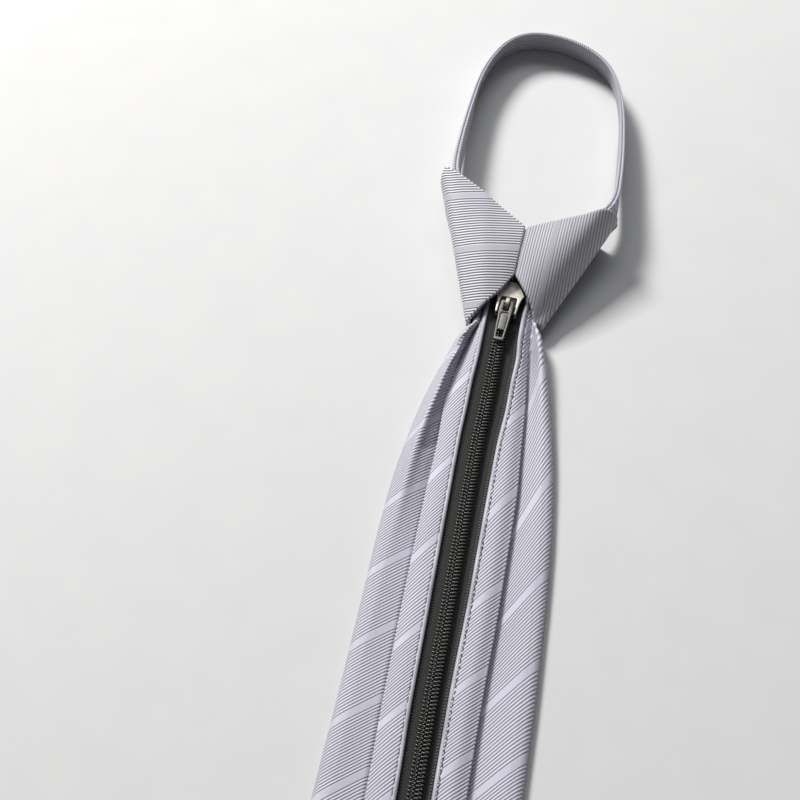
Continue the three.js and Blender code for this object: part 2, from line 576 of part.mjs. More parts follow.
function part(name, geometry, material) {
  const mesh = new THREE.Mesh(geometry, material);
  mesh.name = name;
  return mesh;
}

const tie = new THREE.Group();
tie.add(
  part("blade", bladeGeometry(), silver),
  part("knot_wrap", knotGeometry(), silver),
  part("zip_strip_left", stripGeometry(-1), silverDeep),
  part("zip_strip_right", stripGeometry(1), silverDeep),
  part("zip_tape_left", tapeGeometry(-1), tapeBlack),
  part("zip_tape_right", tapeGeometry(1), tapeBlack),
  part("zip_coil_left", coilGeometry(-1), coilBlack),
  part("zip_coil_right", coilGeometry(1), coilBlack),
  part("neck_band", bandGeometry(), silverDeep),
);

const stop = part(
  "bottom_stop",
  box(-2.4, 2.4, -1.2, 1.2, 0, 1.9),
  coilBlack,
);
stop.position.set(at(ZIP, "cx", COIL_END_Y - 2), COIL_END_Y - 1.6, COIL_Z);
tie.add(stop);

const slider = new THREE.Group();
slider.position.set(SLIDER_AT.x, SLIDER_AT.y, SLIDER_AT.z);
slider.rotation.z = THREE.MathUtils.degToRad(SLIDER_ANGLE);
slider.add(part("slider_body", sliderGeometry(), nickel));
const pull = new THREE.Group();
pull.position.z = HINGE_Z;
pull.rotation.x = THREE.MathUtils.degToRad(PULL.drop);
pull.add(part("pull_tab", pullGeometry(), steel));
slider.add(pull);
tie.add(slider);

// the origin is the middle of the bounding box's underside
const whole = new THREE.Group();
whole.add(tie);
whole.updateMatrixWorld(true);
const extent = new THREE.Box3().setFromObject(tie, true);
tie.position.set(
  -(extent.min.x + extent.max.x) / 2,
  -(extent.min.y + extent.max.y) / 2,
  -extent.min.z,
);

export default whole;
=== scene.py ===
import bpy
import bmesh
import math
import numpy as np
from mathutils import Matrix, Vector


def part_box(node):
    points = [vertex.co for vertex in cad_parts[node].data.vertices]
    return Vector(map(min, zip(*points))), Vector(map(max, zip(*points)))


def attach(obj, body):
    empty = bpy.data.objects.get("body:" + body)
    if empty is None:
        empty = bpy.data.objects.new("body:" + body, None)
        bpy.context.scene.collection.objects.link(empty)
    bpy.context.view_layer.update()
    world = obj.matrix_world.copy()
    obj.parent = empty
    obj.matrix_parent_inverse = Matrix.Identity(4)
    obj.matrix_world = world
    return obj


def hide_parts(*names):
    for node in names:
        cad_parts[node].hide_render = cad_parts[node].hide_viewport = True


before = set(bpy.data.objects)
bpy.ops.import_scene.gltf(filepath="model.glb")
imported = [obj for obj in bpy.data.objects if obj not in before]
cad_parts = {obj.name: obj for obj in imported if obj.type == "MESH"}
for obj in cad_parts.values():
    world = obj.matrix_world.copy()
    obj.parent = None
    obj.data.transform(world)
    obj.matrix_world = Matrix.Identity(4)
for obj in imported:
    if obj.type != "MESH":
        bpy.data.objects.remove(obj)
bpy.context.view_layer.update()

# ---------------------------------------------------------------------------
# A slim ready-tied necktie with a zipper, lying face down, zipper side up.
# The tables are in millimetres, in the tie's own plan frame: y = 0 at the knot's lower edge, x = 0 its middle, z = 0 the table.
# SHIFT takes them to the row frame.
# ---------------------------------------------------------------------------
blade_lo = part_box("blade")[0]
SHIFT = np.array([blade_lo.x * 1000 + 35.3, blade_lo.y * 1000 + 427.0, 0.0])


def row(p):
    """Points in the tables' frame, in mm, to the row frame in metres."""
    return (np.asarray(p, float) + SHIFT) / 1000.0


# ---- camera: the photo's viewing angle ------------------------------------
CAM_ELEVATION, CAM_AZIMUTH = 54.0, 9.6
cam_data = bpy.data.cameras.new("camera")
cam_data.lens, cam_data.sensor_width = 76.5, 36.0
cam_data.clip_start, cam_data.clip_end = 0.01, 20.0
cam = bpy.data.objects.new("camera", cam_data)
bpy.context.scene.collection.objects.link(cam)
cam.location = row((23.2106, -360.8683, 450.4113))
cam.rotation_mode = "XYZ"
cam.rotation_euler = (math.radians(90 - CAM_ELEVATION), 0, math.radians(CAM_AZIMUTH))
bpy.context.scene.camera = cam

# ---- tables ----------------------------------------------------------------
BLADE_COLS = ("y", "xl", "fl", "hl", "cl", "zl", "xr", "fr", "hr", "cr", "zr", "zb")
BLADE = [
    (13, -11.6, -10.0, 6.6, 1.3, 6.2, 9.2, 8, 6.6, 0.9, 6.2, 2.0),
    (4, -12.0, -10.3, 7.2, 1.4, 6.4, 9.3, 8, 6.8, 0.9, 6.2, 2.0),
    (-4, -12.0, -10.5, 7.4, 1.5, 6.2, 9.4, 8.1, 6.9, 0.9, 5.9, 2.0),
    (-7.8, -12.4, -11.2, 8.0, 1.6, 5.8, 11, 8.2, 7.5, 1.3, 5.4, 2.0),
    (-10.2, -14.2, -11.8, 8.6, 1.7, 5.4, 11.9, 8.1, 8.0, 1.4, 5.0, 1.8),
    (-14, -16.2, -12.8, 8.8, 1.9, 4.8, 12.8, 8.0, 8.2, 1.5, 4.5, 1.5),
    (-20, -18.2, -13.7, 8.0, 2.1, 4.2, 14.4, 7.9, 7.5, 1.8, 3.9, 0.9),
    (-27, -20.3, -14.1, 7.2, 2.4, 3.8, 15.9, 7.7, 6.8, 2.1, 3.6, 0.35),
    (-35, -22.6, -14.2, 6.5, 2.8, 3.5, 17.4, 7.5, 6.2, 2.4, 3.4, 0),
    (-45, -24.8, -13.7, 5.8, 3.2, 3.4, 19.1, 7.5, 5.6, 2.7, 3.4, 0),
    (-56, -26.6, -13.6, 5.3, 3.4, 3.4, 20.8, 7.7, 5.2, 3.0, 3.4, 0),
    (-70, -28.3, -14.0, 4.9, 3.6, 3.4, 22.4, 8.0, 4.8, 3.3, 3.4, 0),
    (-90, -29.5, -14.5, 4.5, 3.8, 3.4, 24.0, 8.3, 4.5, 3.6, 3.4, 0),
    (-114, -30.2, -14.9, 4.3, 4.0, 3.4, 24.9, 8.1, 4.3, 3.8, 3.4, 0),
    (-147, -31.3, -15.1, 4.2, 4.0, 3.4, 25.5, 7.5, 4.2, 4.0, 3.4, 0),
    (-180, -32.6, -14.8, 4.2, 4.0, 3.4, 25.4, 7.3, 4.2, 4.0, 3.4, 0),
    (-230, -33.7, -14.8, 4.2, 4.0, 3.4, 25.4, 7.2, 4.2, 4.0, 3.4, 0),
    (-285, -34.4, -14.8, 4.2, 4.0, 3.4, 25.4, 7.1, 4.2, 4.0, 3.4, 0),
    (-325, -34.8, -13.8, 4.2, 4.0, 3.4, 25.2, 6.0, 4.2, 4.0, 3.4, 0),
    (-345, -35.0, -10.6, 4.1, 4.0, 3.4, 25.0, 1.8, 4.1, 4.0, 3.4, 0),
    (-360, -35.2, -6.9, 4.0, 4.0, 3.4, 24.8, -2.9, 4.0, 4.0, 3.4, 0),
    (-378, -35.3, -5.7, 3.8, 3.6, 3.3, 24.7, -4.7, 3.8, 3.6, 3.3, 0),
    (-397, -34.9, -5.7, 3.6, 3.2, 3.2, 24.4, -4.7, 3.6, 3.2, 3.2, 0),
    (-402, -32.2, -5.7, 3.4, 3.0, 3.2, 21.8, -4.7, 3.4, 3.0, 3.2, 0),
    (-424, -11.1, -5.7, 3.1, 1.6, 3.1, 0.7, -4.7, 3.1, 1.6, 3.1, 0),
    (-427, -8.1, -5.65, 3.0, 1.0, 3.0, -2.3, -4.75, 3.0, 1.0, 3.0, 0),
]
ZIP_COLS = ("y", "cx", "il", "ol", "ir", "or", "lift")
ZIP = [
    (14, 0.1, -8.0, -9.0, 5.1, 6.7, 2.3),
    (4, -0.9, -7.9, -9.3, 4.9, 6.9, 2.3),
    (-4, -1.6, -8.1, -9.4, 4.5, 7.1, 2.3),
    (-12, -2.3, -8.3, -10.9, 4.4, 7.2, 2.1),
    (-20, -2.6, -8.5, -12.6, 4.8, 7.6, 1.6),
    (-30, -2.75, -9.1, -15.0, 4.3, 8.5, 1.0),
    (-40, -3.1, -9.4, -16.1, 4.1, 9.3, 0.5),
    (-55, -3.7, -9.9, -15.9, 3.1, 10.0, 0.1),
    (-75, -3.95, -10.0, -16.6, 2.7, 10.9, 0),
    (-112, -4.1, -10.0, -17.3, 2.2, 10.7, 0),
    (-146, -4.4, -10.1, -17.5, 1.3, 9.9, 0),
    (-177, -4.3, -9.7, -17.3, 1.2, 9.7, 0),
    (-250, -4.6, -10.2, -17.5, 1.0, 9.6, 0),
    (-338, -4.9, -10.5, -16.0, 0.7, 6.4, 0),
]
KNOT_COLS = ("yb", "xb", "zb", "yt", "xt", "zt", "bulge")
KNOT = [
    (10.2, -0.44, 14.1, 26.4, 1.01, 18.9, 0.3),  # seam, left
    (3.6, -4.5, 12.9, 32.9, -8.7, 20.8, 1.2),
    (-1.8, -9.2, 11.4, 38.2, -16.6, 22.7, 1.6),
    (-6, -13, 8.7, 44.5, -28.2, 24.1, 0.6),  # left shoulder
    (-7.3, -14.3, 6.6, 44.4, -30.6, 20.6, 0.2),
    (-7.6, -13.9, 3.6, 43.8, -29.4, 11.5, 0),
    (-8, -12.6, 0.9, 42.6, -27.6, 2, -0.2),
    (-8.4, -10.6, 0, 42, -25.6, 0, 0),
    (-8.4, -5.5, 0, 41, -13, 0, 0),
    (-8.4, -0.9, 0, 40, 0, 0, 0),  # front, on the table
    (-8, 3.6, 0, 39, 13, 0, 0),
    (-5, 8, 0, 38, 24.4, 0, 0),
    (-4.6, 10.2, 1.2, 37.8, 27.4, 2.4, -0.2),
    (-4.2, 11.3, 4.2, 38, 29.9, 10, 0),
    (-4.4, 11.4, 7.2, 38, 31.2, 17.5, 0.2),
    (-3.6, 8.9, 9.4, 36.8, 26.6, 22.8, 0.7),  # right shoulder
    (0.8, 6.6, 11.8, 32.6, 18.2, 21.8, 1.3),
    (5.4, 3, 13.4, 29.4, 9.3, 20.2, 1),
    (10.2, -0.36, 14.1, 26.4, 1.09, 18.9, 0.3),  # seam, right
]
BAND_COLS = ("x", "y", "lift", "lean", "wall")
BAND = [
    (-20.3, 30.5, 5.7, 0, 2.8),
    (-22.3, 36.5, 5.7, 0, 2.8),
    (-24.5, 43, 5.6, 0, 2.8),
    (-26.3, 49.3, 5.1, 0, 2.7),
    (-27.2, 55.4, 4.3, 0, 2.5),
    (-27.4, 63.9, 3.2, 0, 2.3),
    (-27.1, 76.8, 1.8, 0.2, 2.1),
    (-26.4, 89.5, 0.7, 0.6, 1.9),
    (-25.2, 102.5, 0, 1.6, 1.7),
    (-23, 112.7, 0, 2.8, 1.5),
    (-19.4, 121.8, 0, 3.7, 1.35),
    (-15.1, 127.4, 0, 4.1, 1.25),
    (-9.9, 130.4, 0, 4.2, 1.2),
    (-4, 131.2, 0, 4.2, 1.2),
    (3, 130.2, 0, 4.1, 1.2),
    (10, 127.5, 0, 3.9, 1.25),
    (16.2, 123.3, 0, 3.5, 1.3),
    (21, 117.7, 0, 2.8, 1.35),
    (24.4, 110.6, 0, 2, 1.45),
    (27, 101, 0.2, 1.2, 1.6),
    (28.5, 90.9, 0.6, 0.6, 1.8),
    (29.4, 80.3, 1.3, 0.2, 2),
    (30, 68.5, 2.4, 0, 2.1),
    (30.2, 56.7, 3.8, 0, 2.2),
    (29.8, 48.2, 4.8, 0, 2.3),
    (27.7, 41.3, 5.6, 0, 2.4),
    (23.3, 35.8, 5.7, 0, 2.4),
    (19.2, 29.6, 4.6, 0, 2.4),
]
BLADE_WALL, STRIP_WALL, TAPE_WALL, KNOT_WALL, BAND_HEIGHT = 1.2, 1.3, 0.6, 1.6, 12.6
ZIP_TOP, ZIP_END, COIL_TOP, COIL_END = 14.0, -338.0, 0.6, -330.0
STRIP_INNER_Z, STRIP_OUTER_Z, TAPE_Z, COIL_Z = 4.5, 3.95, 3.5, 4.4
RIB, STRIPE = 0.875, 18.375  # pitch of the ribs, and of the smooth satin stripes: 21 ribs


def columns(rows, names):
    a = np.array(rows, float)
    return {n: a[:, i] for i, n in enumerate(names)}


def smooth_at(x, y, q):
    """Monotone cubic through the points, x rising, read at q."""
    x, y, q = np.asarray(x, float), np.asarray(y, float), np.asarray(q, float)
    h, d = np.diff(x), np.diff(y) / np.diff(x)
    m = np.empty_like(y)
    m[0], m[-1] = d[0], d[-1]
    same = d[:-1] * d[1:] > 0
    m[1:-1] = np.where(same, 2 * d[:-1] * d[1:] / np.where(same, d[:-1] + d[1:], 1), 0)
    i = np.clip(np.searchsorted(x, q) - 1, 0, len(h) - 1)
    t = np.clip((q - x[i]) / h[i], 0, 1)
    return ((2 * t**3 - 3 * t**2 + 1) * y[i] + (t**3 - 2 * t**2 + t) * h[i] * m[i]
            + (3 * t**2 - 2 * t**3) * y[i + 1] + (t**3 - t**2) * h[i] * m[i + 1])


def table_at(rows, names):
    c = columns(rows[::-1], names)
    return lambda key, y: smooth_at(c["y"], c[key], y)


blade_at, zip_at = table_at(BLADE, BLADE_COLS), table_at(ZIP, ZIP_COLS)


def through(points, n, u=None):
    """A smooth line (Catmull-Rom) of n points, or at the places u, through the points along the second last axis of an array (..., k, dim)."""
    p = np.asarray(points, float)
    first, last = 2 * p[..., :1, :] - p[..., 1:2, :], 2 * p[..., -1:, :] - p[..., -2:-1, :]
    e = np.concatenate([first, p, last], axis=-2)
    k = p.shape[-2]
    u = np.linspace(0, k - 1, n) if u is None else u
    i = np.clip(u.astype(int), 0, k - 2)
    t = (u - i)[:, None]
    a, b, c, d = (e[..., i + s, :] for s in range(4))
    return 0.5 * (2 * b + (c - a) * t + (2 * a - 5 * b + 4 * c - d) * t**2 + (3 * b - a - 3 * c + d) * t**3)


def wobble(y, seed, size, wave):
    """A slow, repeatable unevenness along y."""
    r = np.random.default_rng(seed)
    out = np.zeros_like(np.asarray(y, float))
    for k in (1.0, 0.53, 0.29):
        out += np.sin(2 * np.pi * y / (wave * k) + r.uniform(0, 6.28)) * k
    return out * size / 1.3


def weave(dist, y, angles, stripes):
    """Weave coordinates next to a fold: dist is the distance from it along the cloth, positive to the right.
    The ribs cross the fold at y0, at the angle that the table gives there; the smooth stripes cross it at the listed y0."""
    a = np.array(sorted(angles), float)
    theta = lambda q: np.radians(np.interp(q, a[:, 0], a[:, 1]))
    y0 = np.array(y + 0 * dist, float)
    for _ in range(40):
        y0 = 0.6 * y0 + 0.4 * (y - dist * np.tan(theta(y0)))
    grid = np.arange(-520.0, 120.0, 0.5)
    run = np.concatenate([[0], np.cumsum(0.25 * (np.cos(theta(grid[1:])) + np.cos(theta(grid[:-1]))))])
    at = np.array(stripes[::-1], float)
    fix = STRIPE * np.arange(len(at)) - np.interp(at, grid, run)
    run = run + np.interp(grid, at, fix)
    return np.interp(y0, grid, run), dist / np.cos(theta(y0))


# ---- mesh tools ------------------------------------------------------------
def add_object(name, mesh):
    o = bpy.data.objects.new(name, mesh)
    bpy.context.scene.collection.objects.link(o)
    return o


def mesh_from(name, points, quads, uvs=None, others=(), smooth=True, sharp=55):
    """points (n, 3) in the row frame; quads (k, 4); uvs (k, 4, 2); others: further faces as index lists."""
    mesh = bpy.data.meshes.new(name)
    faces = [tuple(int(v) for v in q) for q in quads] + [tuple(int(v) for v in f) for f in others]
    mesh.from_pydata([tuple(p) for p in points], [], faces)
    if uvs is not None:
        layer = mesh.uv_layers.new(name="weave")
        flat = np.zeros((len(mesh.loops), 2), np.float32)
        flat[: len(quads) * 4] = np.asarray(uvs, np.float32).reshape(-1, 2)
        k = len(quads) * 4
        first_of = {}
        for q, w in zip(quads, np.asarray(uvs).reshape(len(quads), 4, 2)):
            for v, c in zip(q, w):
                first_of.setdefault(int(v), c)
        for f in others:
            for v in f:
                flat[k] = first_of.get(int(v), (0, 0))
                k += 1
        layer.data.foreach_set("uv", flat.ravel())
    mesh.polygons.foreach_set("use_smooth", [smooth] * len(mesh.polygons))
    mesh.update()
    bm = bmesh.new()
    bm.from_mesh(mesh)
    bmesh.ops.recalc_face_normals(bm, faces=bm.faces)
    bm.to_mesh(mesh)
    bm.free()
    if smooth and sharp:
        mesh.set_sharp_from_angle(angle=math.radians(sharp))
    return mesh


def wall_rings(line, normal, wall, k=4):
    """line (n, p, 3) and unit normals (n, p, 3) to closed rings (n, 2p + 2k, 3) round a cloth wall with rounded free edges."""
    h = (wall / 2)[..., None] if isinstance(wall, np.ndarray) else wall / 2
    out, back = line + normal * h, line - normal * h

    def end(i, j):
        t = line[:, i] - line[:, j]
        t = t / np.linalg.norm(t, axis=-1, keepdims=True)
        hh = h[:, i] if isinstance(h, np.ndarray) else h
        a = np.linspace(0, np.pi, k + 2)[1:-1]
        return np.stack([line[:, i] + normal[:, i] * hh * math.cos(x) + t * hh * math.sin(x) for x in a], axis=1)

    return np.concatenate([out, end(-1, -2), back[:, ::-1], end(0, 1)[:, ::-1]], axis=1)


def ring_uv(u, v, p, k=4):
    """The wall's uv from the line's (n, p): the same on both faces, held at the rounded edges."""
    def go(a):
        return np.concatenate([a, np.repeat(a[:, -1:], k, 1), a[:, ::-1], np.repeat(a[:, :1], k, 1), a[:, :1]], axis=1)

    return np.stack([go(u), go(v)], axis=-1)


def loft(name, rings, uv=None, p=None, k=4, material=None, which=None, sharp=55):
    """Closed rings (n, m, 3), one after the other, with both ends closed. uv: (n, m + 1, 2), or a list of such with which[j] for each column of faces."""
    n, m, _ = rings.shape
    i, j = np.meshgrid(np.arange(n - 1), np.arange(m), indexing="ij")
    j2 = (j + 1) % m
    quads = np.stack([i * m + j, i * m + j2, (i + 1) * m + j2, (i + 1) * m + j], axis=-1).reshape(-1, 4)
    uvs = None
    if uv is not None:
        maps = uv if isinstance(uv, list) else [uv]
        pick = np.zeros(m, int) if which is None else np.asarray(which)
        stack = np.stack(maps)  # (maps, n, m + 1, 2)
        w = pick[j]
        uvs = np.stack([stack[w, i, j], stack[w, i, j + 1], stack[w, i + 1, j + 1], stack[w, i + 1, j]], axis=-2).reshape(-1, 4, 2)
    others = []
    for base in (0, (n - 1) * m):
        if p is None:
            others.append([base + a for a in range(m)])
            continue
        inner = lambda a: base + 2 * p + k - 1 - a
        for a in range(p - 1):
            others.append([base + a, base + a + 1, inner(a + 1), inner(a)])
        others.append([base + p - 1 + a for a in range(k + 2)])
        others.append([base + (2 * p + k - 1 + a) % m for a in range(k + 2)])
    mesh = mesh_from(name, row(rings.reshape(-1, 3)), quads, uvs, others, sharp=sharp)
    o = add_object(name, mesh)
    if material:
        mesh.materials.append(material)
    return o


def plan_normals(line):
    """Unit normals of section lines (n, p, 3) that lie in x-z planes, to the left of their direction."""
    d = np.gradient(line, axis=1)
    nrm = np.stack([-d[..., 2], np.zeros(d.shape[:2]), d[..., 0]], axis=-1)
    return nrm / np.maximum(np.linalg.norm(nrm, axis=-1, keepdims=True), 1e-9)


def arc(line):
    return np.concatenate([np.zeros((len(line), 1)), np.cumsum(np.linalg.norm(np.diff(line, axis=1), axis=-1), axis=1)], axis=1)


def tube_mesh(name, paths, radius, sides=6, material=None, flat=1.0, extra=None):
    """Round threads along paths (a list of (n, 3) arrays in the tables' frame), joined in one mesh."""
    pts, quads, others, uvs, base = [], [], [], [], 0
    for path in paths:
        path = np.asarray(path, float)
        t = np.gradient(path, axis=0)
        t /= np.linalg.norm(t, axis=1, keepdims=True)
        up = np.tile(np.array([0.0, 0.0, 1.0]), (len(path), 1))
        steep = np.abs(t[:, 2]) > 0.95
        ref = np.where(steep[:, None], np.array([0.0, 1.0, 0.0]), up)
        a = np.cross(t, ref)
        a /= np.linalg.norm(a, axis=1, keepdims=True)
        for q in range(1, len(a)):  # no flips along the thread
            if np.dot(a[q], a[q - 1]) < 0:
                a[q] *= -1
        b = np.cross(a, t)
        ang = np.linspace(0, 2 * np.pi, sides, endpoint=False)
        ring = path[:, None] + radius * (np.cos(ang)[None, :, None] * a[:, None] + flat * np.sin(ang)[None, :, None] * b[:, None])
        n = len(path)
        i, j = np.meshgrid(np.arange(n - 1), np.arange(sides), indexing="ij")
        j2 = (j + 1) % sides
        quads.append(base + np.stack([i * sides + j, i * sides + j2, (i + 1) * sides + j2, (i + 1) * sides + j], axis=-1).reshape(-1, 4))
        others += [[base + q for q in range(sides)], [base + (n - 1) * sides + q for q in range(sides)]]
        pts.append(ring.reshape(-1, 3))
        base += n * sides
    if extra is not None:
        others += [[base + v for v in f] for f in extra[1]]
        pts.append(extra[0])
    quads = np.concatenate(quads)
    mesh = bpy.data.meshes.new(name)
    mesh.from_pydata([tuple(x) for x in row(np.concatenate(pts))], [], [tuple(map(int, q)) for q in quads] + [tuple(f) for f in others])
    mesh.polygons.foreach_set("use_smooth", [True] * len(mesh.polygons))
    bm = bmesh.new()
    bm.from_mesh(mesh)
    bmesh.ops.recalc_face_normals(bm, faces=bm.faces)
    bm.to_mesh(mesh)
    bm.free()
    mesh.set_sharp_from_angle(angle=math.radians(60))
    if material:
        mesh.materials.append(material)
    if extra is not None:
        mesh.materials.append(extra[2])
        first = len(mesh.polygons) - len(extra[1])
        mesh.polygons.foreach_set("material_index", [int(q >= first) for q in range(len(mesh.polygons))])
    return add_object(name, mesh)


def beads(centres, size, around=8, levels=4):
    """Small ellipsoids of the given half sizes at the centres, as (points, faces) in mm."""
    lat = np.linspace(-np.pi / 2, np.pi / 2, levels + 2)[1:-1]
    lon = np.linspace(0, 2 * np.pi, around, endpoint=False)
    ball = [(0, 0, -1)] + [(math.cos(a) * math.cos(b), math.cos(a) * math.sin(b), math.sin(a)) for a in lat for b in lon] + [(0, 0, 1)]
    faces = []
    for q in range(around):
        w = (q + 1) % around
        faces.append([0, 1 + w, 1 + q])
        faces += [[1 + r * around + q, 1 + r * around + w, 1 + (r + 1) * around + w, 1 + (r + 1) * around + q] for r in range(levels - 1)]
        faces.append([1 + (levels - 1) * around + q, 1 + (levels - 1) * around + w, len(ball) - 1])
    ball = np.array(ball) * size
    pts = (np.asarray(centres)[:, None, :] + ball[None]).reshape(-1, 3)
    return pts, [[k * len(ball) + v for v in f] for k in range(len(centres)) for f in faces]


def plate(outer, holes, z0, z1, bevel=0.15):
    """A flat outline with holes and rounded edges, as (points, faces) in mm."""
    curve = bpy.data.curves.new("outline", "CURVE")
    curve.dimensions, curve.fill_mode = "2D", "BOTH"
    curve.bevel_depth, curve.bevel_resolution = bevel, 2
    curve.extrude = max((z1 - z0) / 2 - bevel, 0.001)
    curve.offset = -bevel
    for loop in [outer, *holes]:
        s = curve.splines.new("POLY")
        s.points.add(len(loop) - 1)
        for q, (x, y) in zip(s.points, loop):
            q.co = (x, y, 0, 1)
        s.use_cyclic_u = True
    o = add_object("outline", curve)
    bpy.context.view_layer.update()
    mesh = bpy.data.meshes.new_from_object(o.evaluated_get(bpy.context.evaluated_depsgraph_get()))
    bm = bmesh.new()
    bm.from_mesh(mesh)
    bmesh.ops.remove_doubles(bm, verts=bm.verts, dist=1e-4)
    bm.verts.ensure_lookup_table()
    pts = np.array([v.co for v in bm.verts], float) + [0, 0, (z0 + z1) / 2]
    faces = [[v.index for v in f.verts] for f in bm.faces]
    bm.free()
    bpy.data.meshes.remove(mesh)
    bpy.data.objects.remove(o)
    bpy.data.curves.remove(curve)
    return pts, faces


def rounded(points, radius, n=4):
    """A closed outline with its corners rounded. points: (x, y) or (x, y, own radius)."""
    out, k = [], len(points)
    for i, p in enumerate(points):
        r = p[2] if len(p) > 2 else radius
        a, c, b = np.array(points[i - 1][:2], float), np.array(p[:2], float), np.array(points[(i + 1) % k][:2], float)
        u, v = (a - c) / np.linalg.norm(a - c), (b - c) / np.linalg.norm(b - c)
        half = math.acos(np.clip(np.dot(u, v), -1, 1)) / 2
        cut = min(r / max(math.tan(half), 1e-3), 0.48 * np.linalg.norm(a - c), 0.48 * np.linalg.norm(b - c))
        if r <= 0 or cut < 1e-3:
            out.append(tuple(c))
            continue
        for t in np.linspace(0, 1, n + 1):
            q = (1 - t) ** 2 * (c + u * cut) + 2 * t * (1 - t) * c + t**2 * (c + v * cut)
            out.append(tuple(q))
    return out


# ---- materials -------------------------------------------------------------
class Nodes:
    """A short way to write shader nodes."""

    def __init__(self, name):
        self.material = bpy.data.materials.new(name)
        self.material.use_nodes = True
        self.tree = self.material.node_tree
        self.tree.nodes.clear()
        self.out = self.tree.nodes.new("ShaderNodeOutputMaterial")
        self.shader = self.tree.nodes.new("ShaderNodeBsdfPrincipled")
        self.tree.links.new(self.shader.outputs[0], self.out.inputs[0])

    def put(self, socket, value):
        if isinstance(value, bpy.types.NodeSocket):
            self.tree.links.new(value, socket)
        elif value is not None:
            socket.default_value = value

    def math(self, op, a, b=None, c=None, clamp=False):
        n = self.tree.nodes.new("ShaderNodeMath")
        n.operation, n.use_clamp = op, clamp
        for s, v in zip(n.inputs, (a, b, c)):
            self.put(s, v)
        return n.outputs[0]

    def ramp(self, value, lo, hi, a=0.0, b=1.0, smooth=True):
        n = self.tree.nodes.new("ShaderNodeMapRange")
        n.interpolation_type = "SMOOTHSTEP" if smooth else "LINEAR"
        for s, v in zip(n.inputs, (value, lo, hi, a, b)):
            self.put(s, v)
        return n.outputs[0]

    def mix(self, f, a, b, kind="RGBA", blend="MIX"):
        n = self.tree.nodes.new("ShaderNodeMix")
        n.data_type = kind
        if kind == "RGBA":
            n.blend_type = blend
            sockets = (n.inputs[0], n.inputs[6], n.inputs[7])
            out = n.outputs[2]
        else:
            sockets, out = (n.inputs[0], n.inputs[2], n.inputs[3]), n.outputs[0]
        for s, v in zip(sockets, (f, a, b)):
            self.put(s, v)
        return out

    def uv(self, name="weave"):
        n = self.tree.nodes.new("ShaderNodeUVMap")
        n.uv_map = name
        s = self.tree.nodes.new("ShaderNodeSeparateXYZ")
        self.tree.links.new(n.outputs[0], s.inputs[0])
        return s.outputs[0], s.outputs[1]

    def place(self):
        n = self.tree.nodes.new("ShaderNodeTexCoord")
        return n.outputs["Object"]

    def vector(self, x, y, z=0.0):
        n = self.tree.nodes.new("ShaderNodeCombineXYZ")
        for s, v in zip(n.inputs, (x, y, z)):
            self.put(s, v)
        return n.outputs[0]

    def noise(self, vector, scale, detail=2.0, rough=0.5):
        n = self.tree.nodes.new("ShaderNodeTexNoise")
        self.put(n.inputs["Vector"], vector)
        n.inputs["Scale"].default_value, n.inputs["Detail"].default_value, n.inputs["Roughness"].default_value = scale, detail, rough
        return n.outputs[0]

    def bump(self, height, distance, strength=1.0, normal=None):
        n = self.tree.nodes.new("ShaderNodeBump")
        n.inputs["Strength"].default_value, n.inputs["Distance"].default_value = strength, distance
        self.put(n.inputs["Height"], height)
        if normal is not None:
            self.put(n.inputs["Normal"], normal)
        return n.outputs[0]

    def set(self, **values):
        for k, v in values.items():
            self.put(self.shader.inputs[k.replace("_", " ")], v)
        return self.material


def rgb(r, g, b):
    return (r, g, b, 1.0)


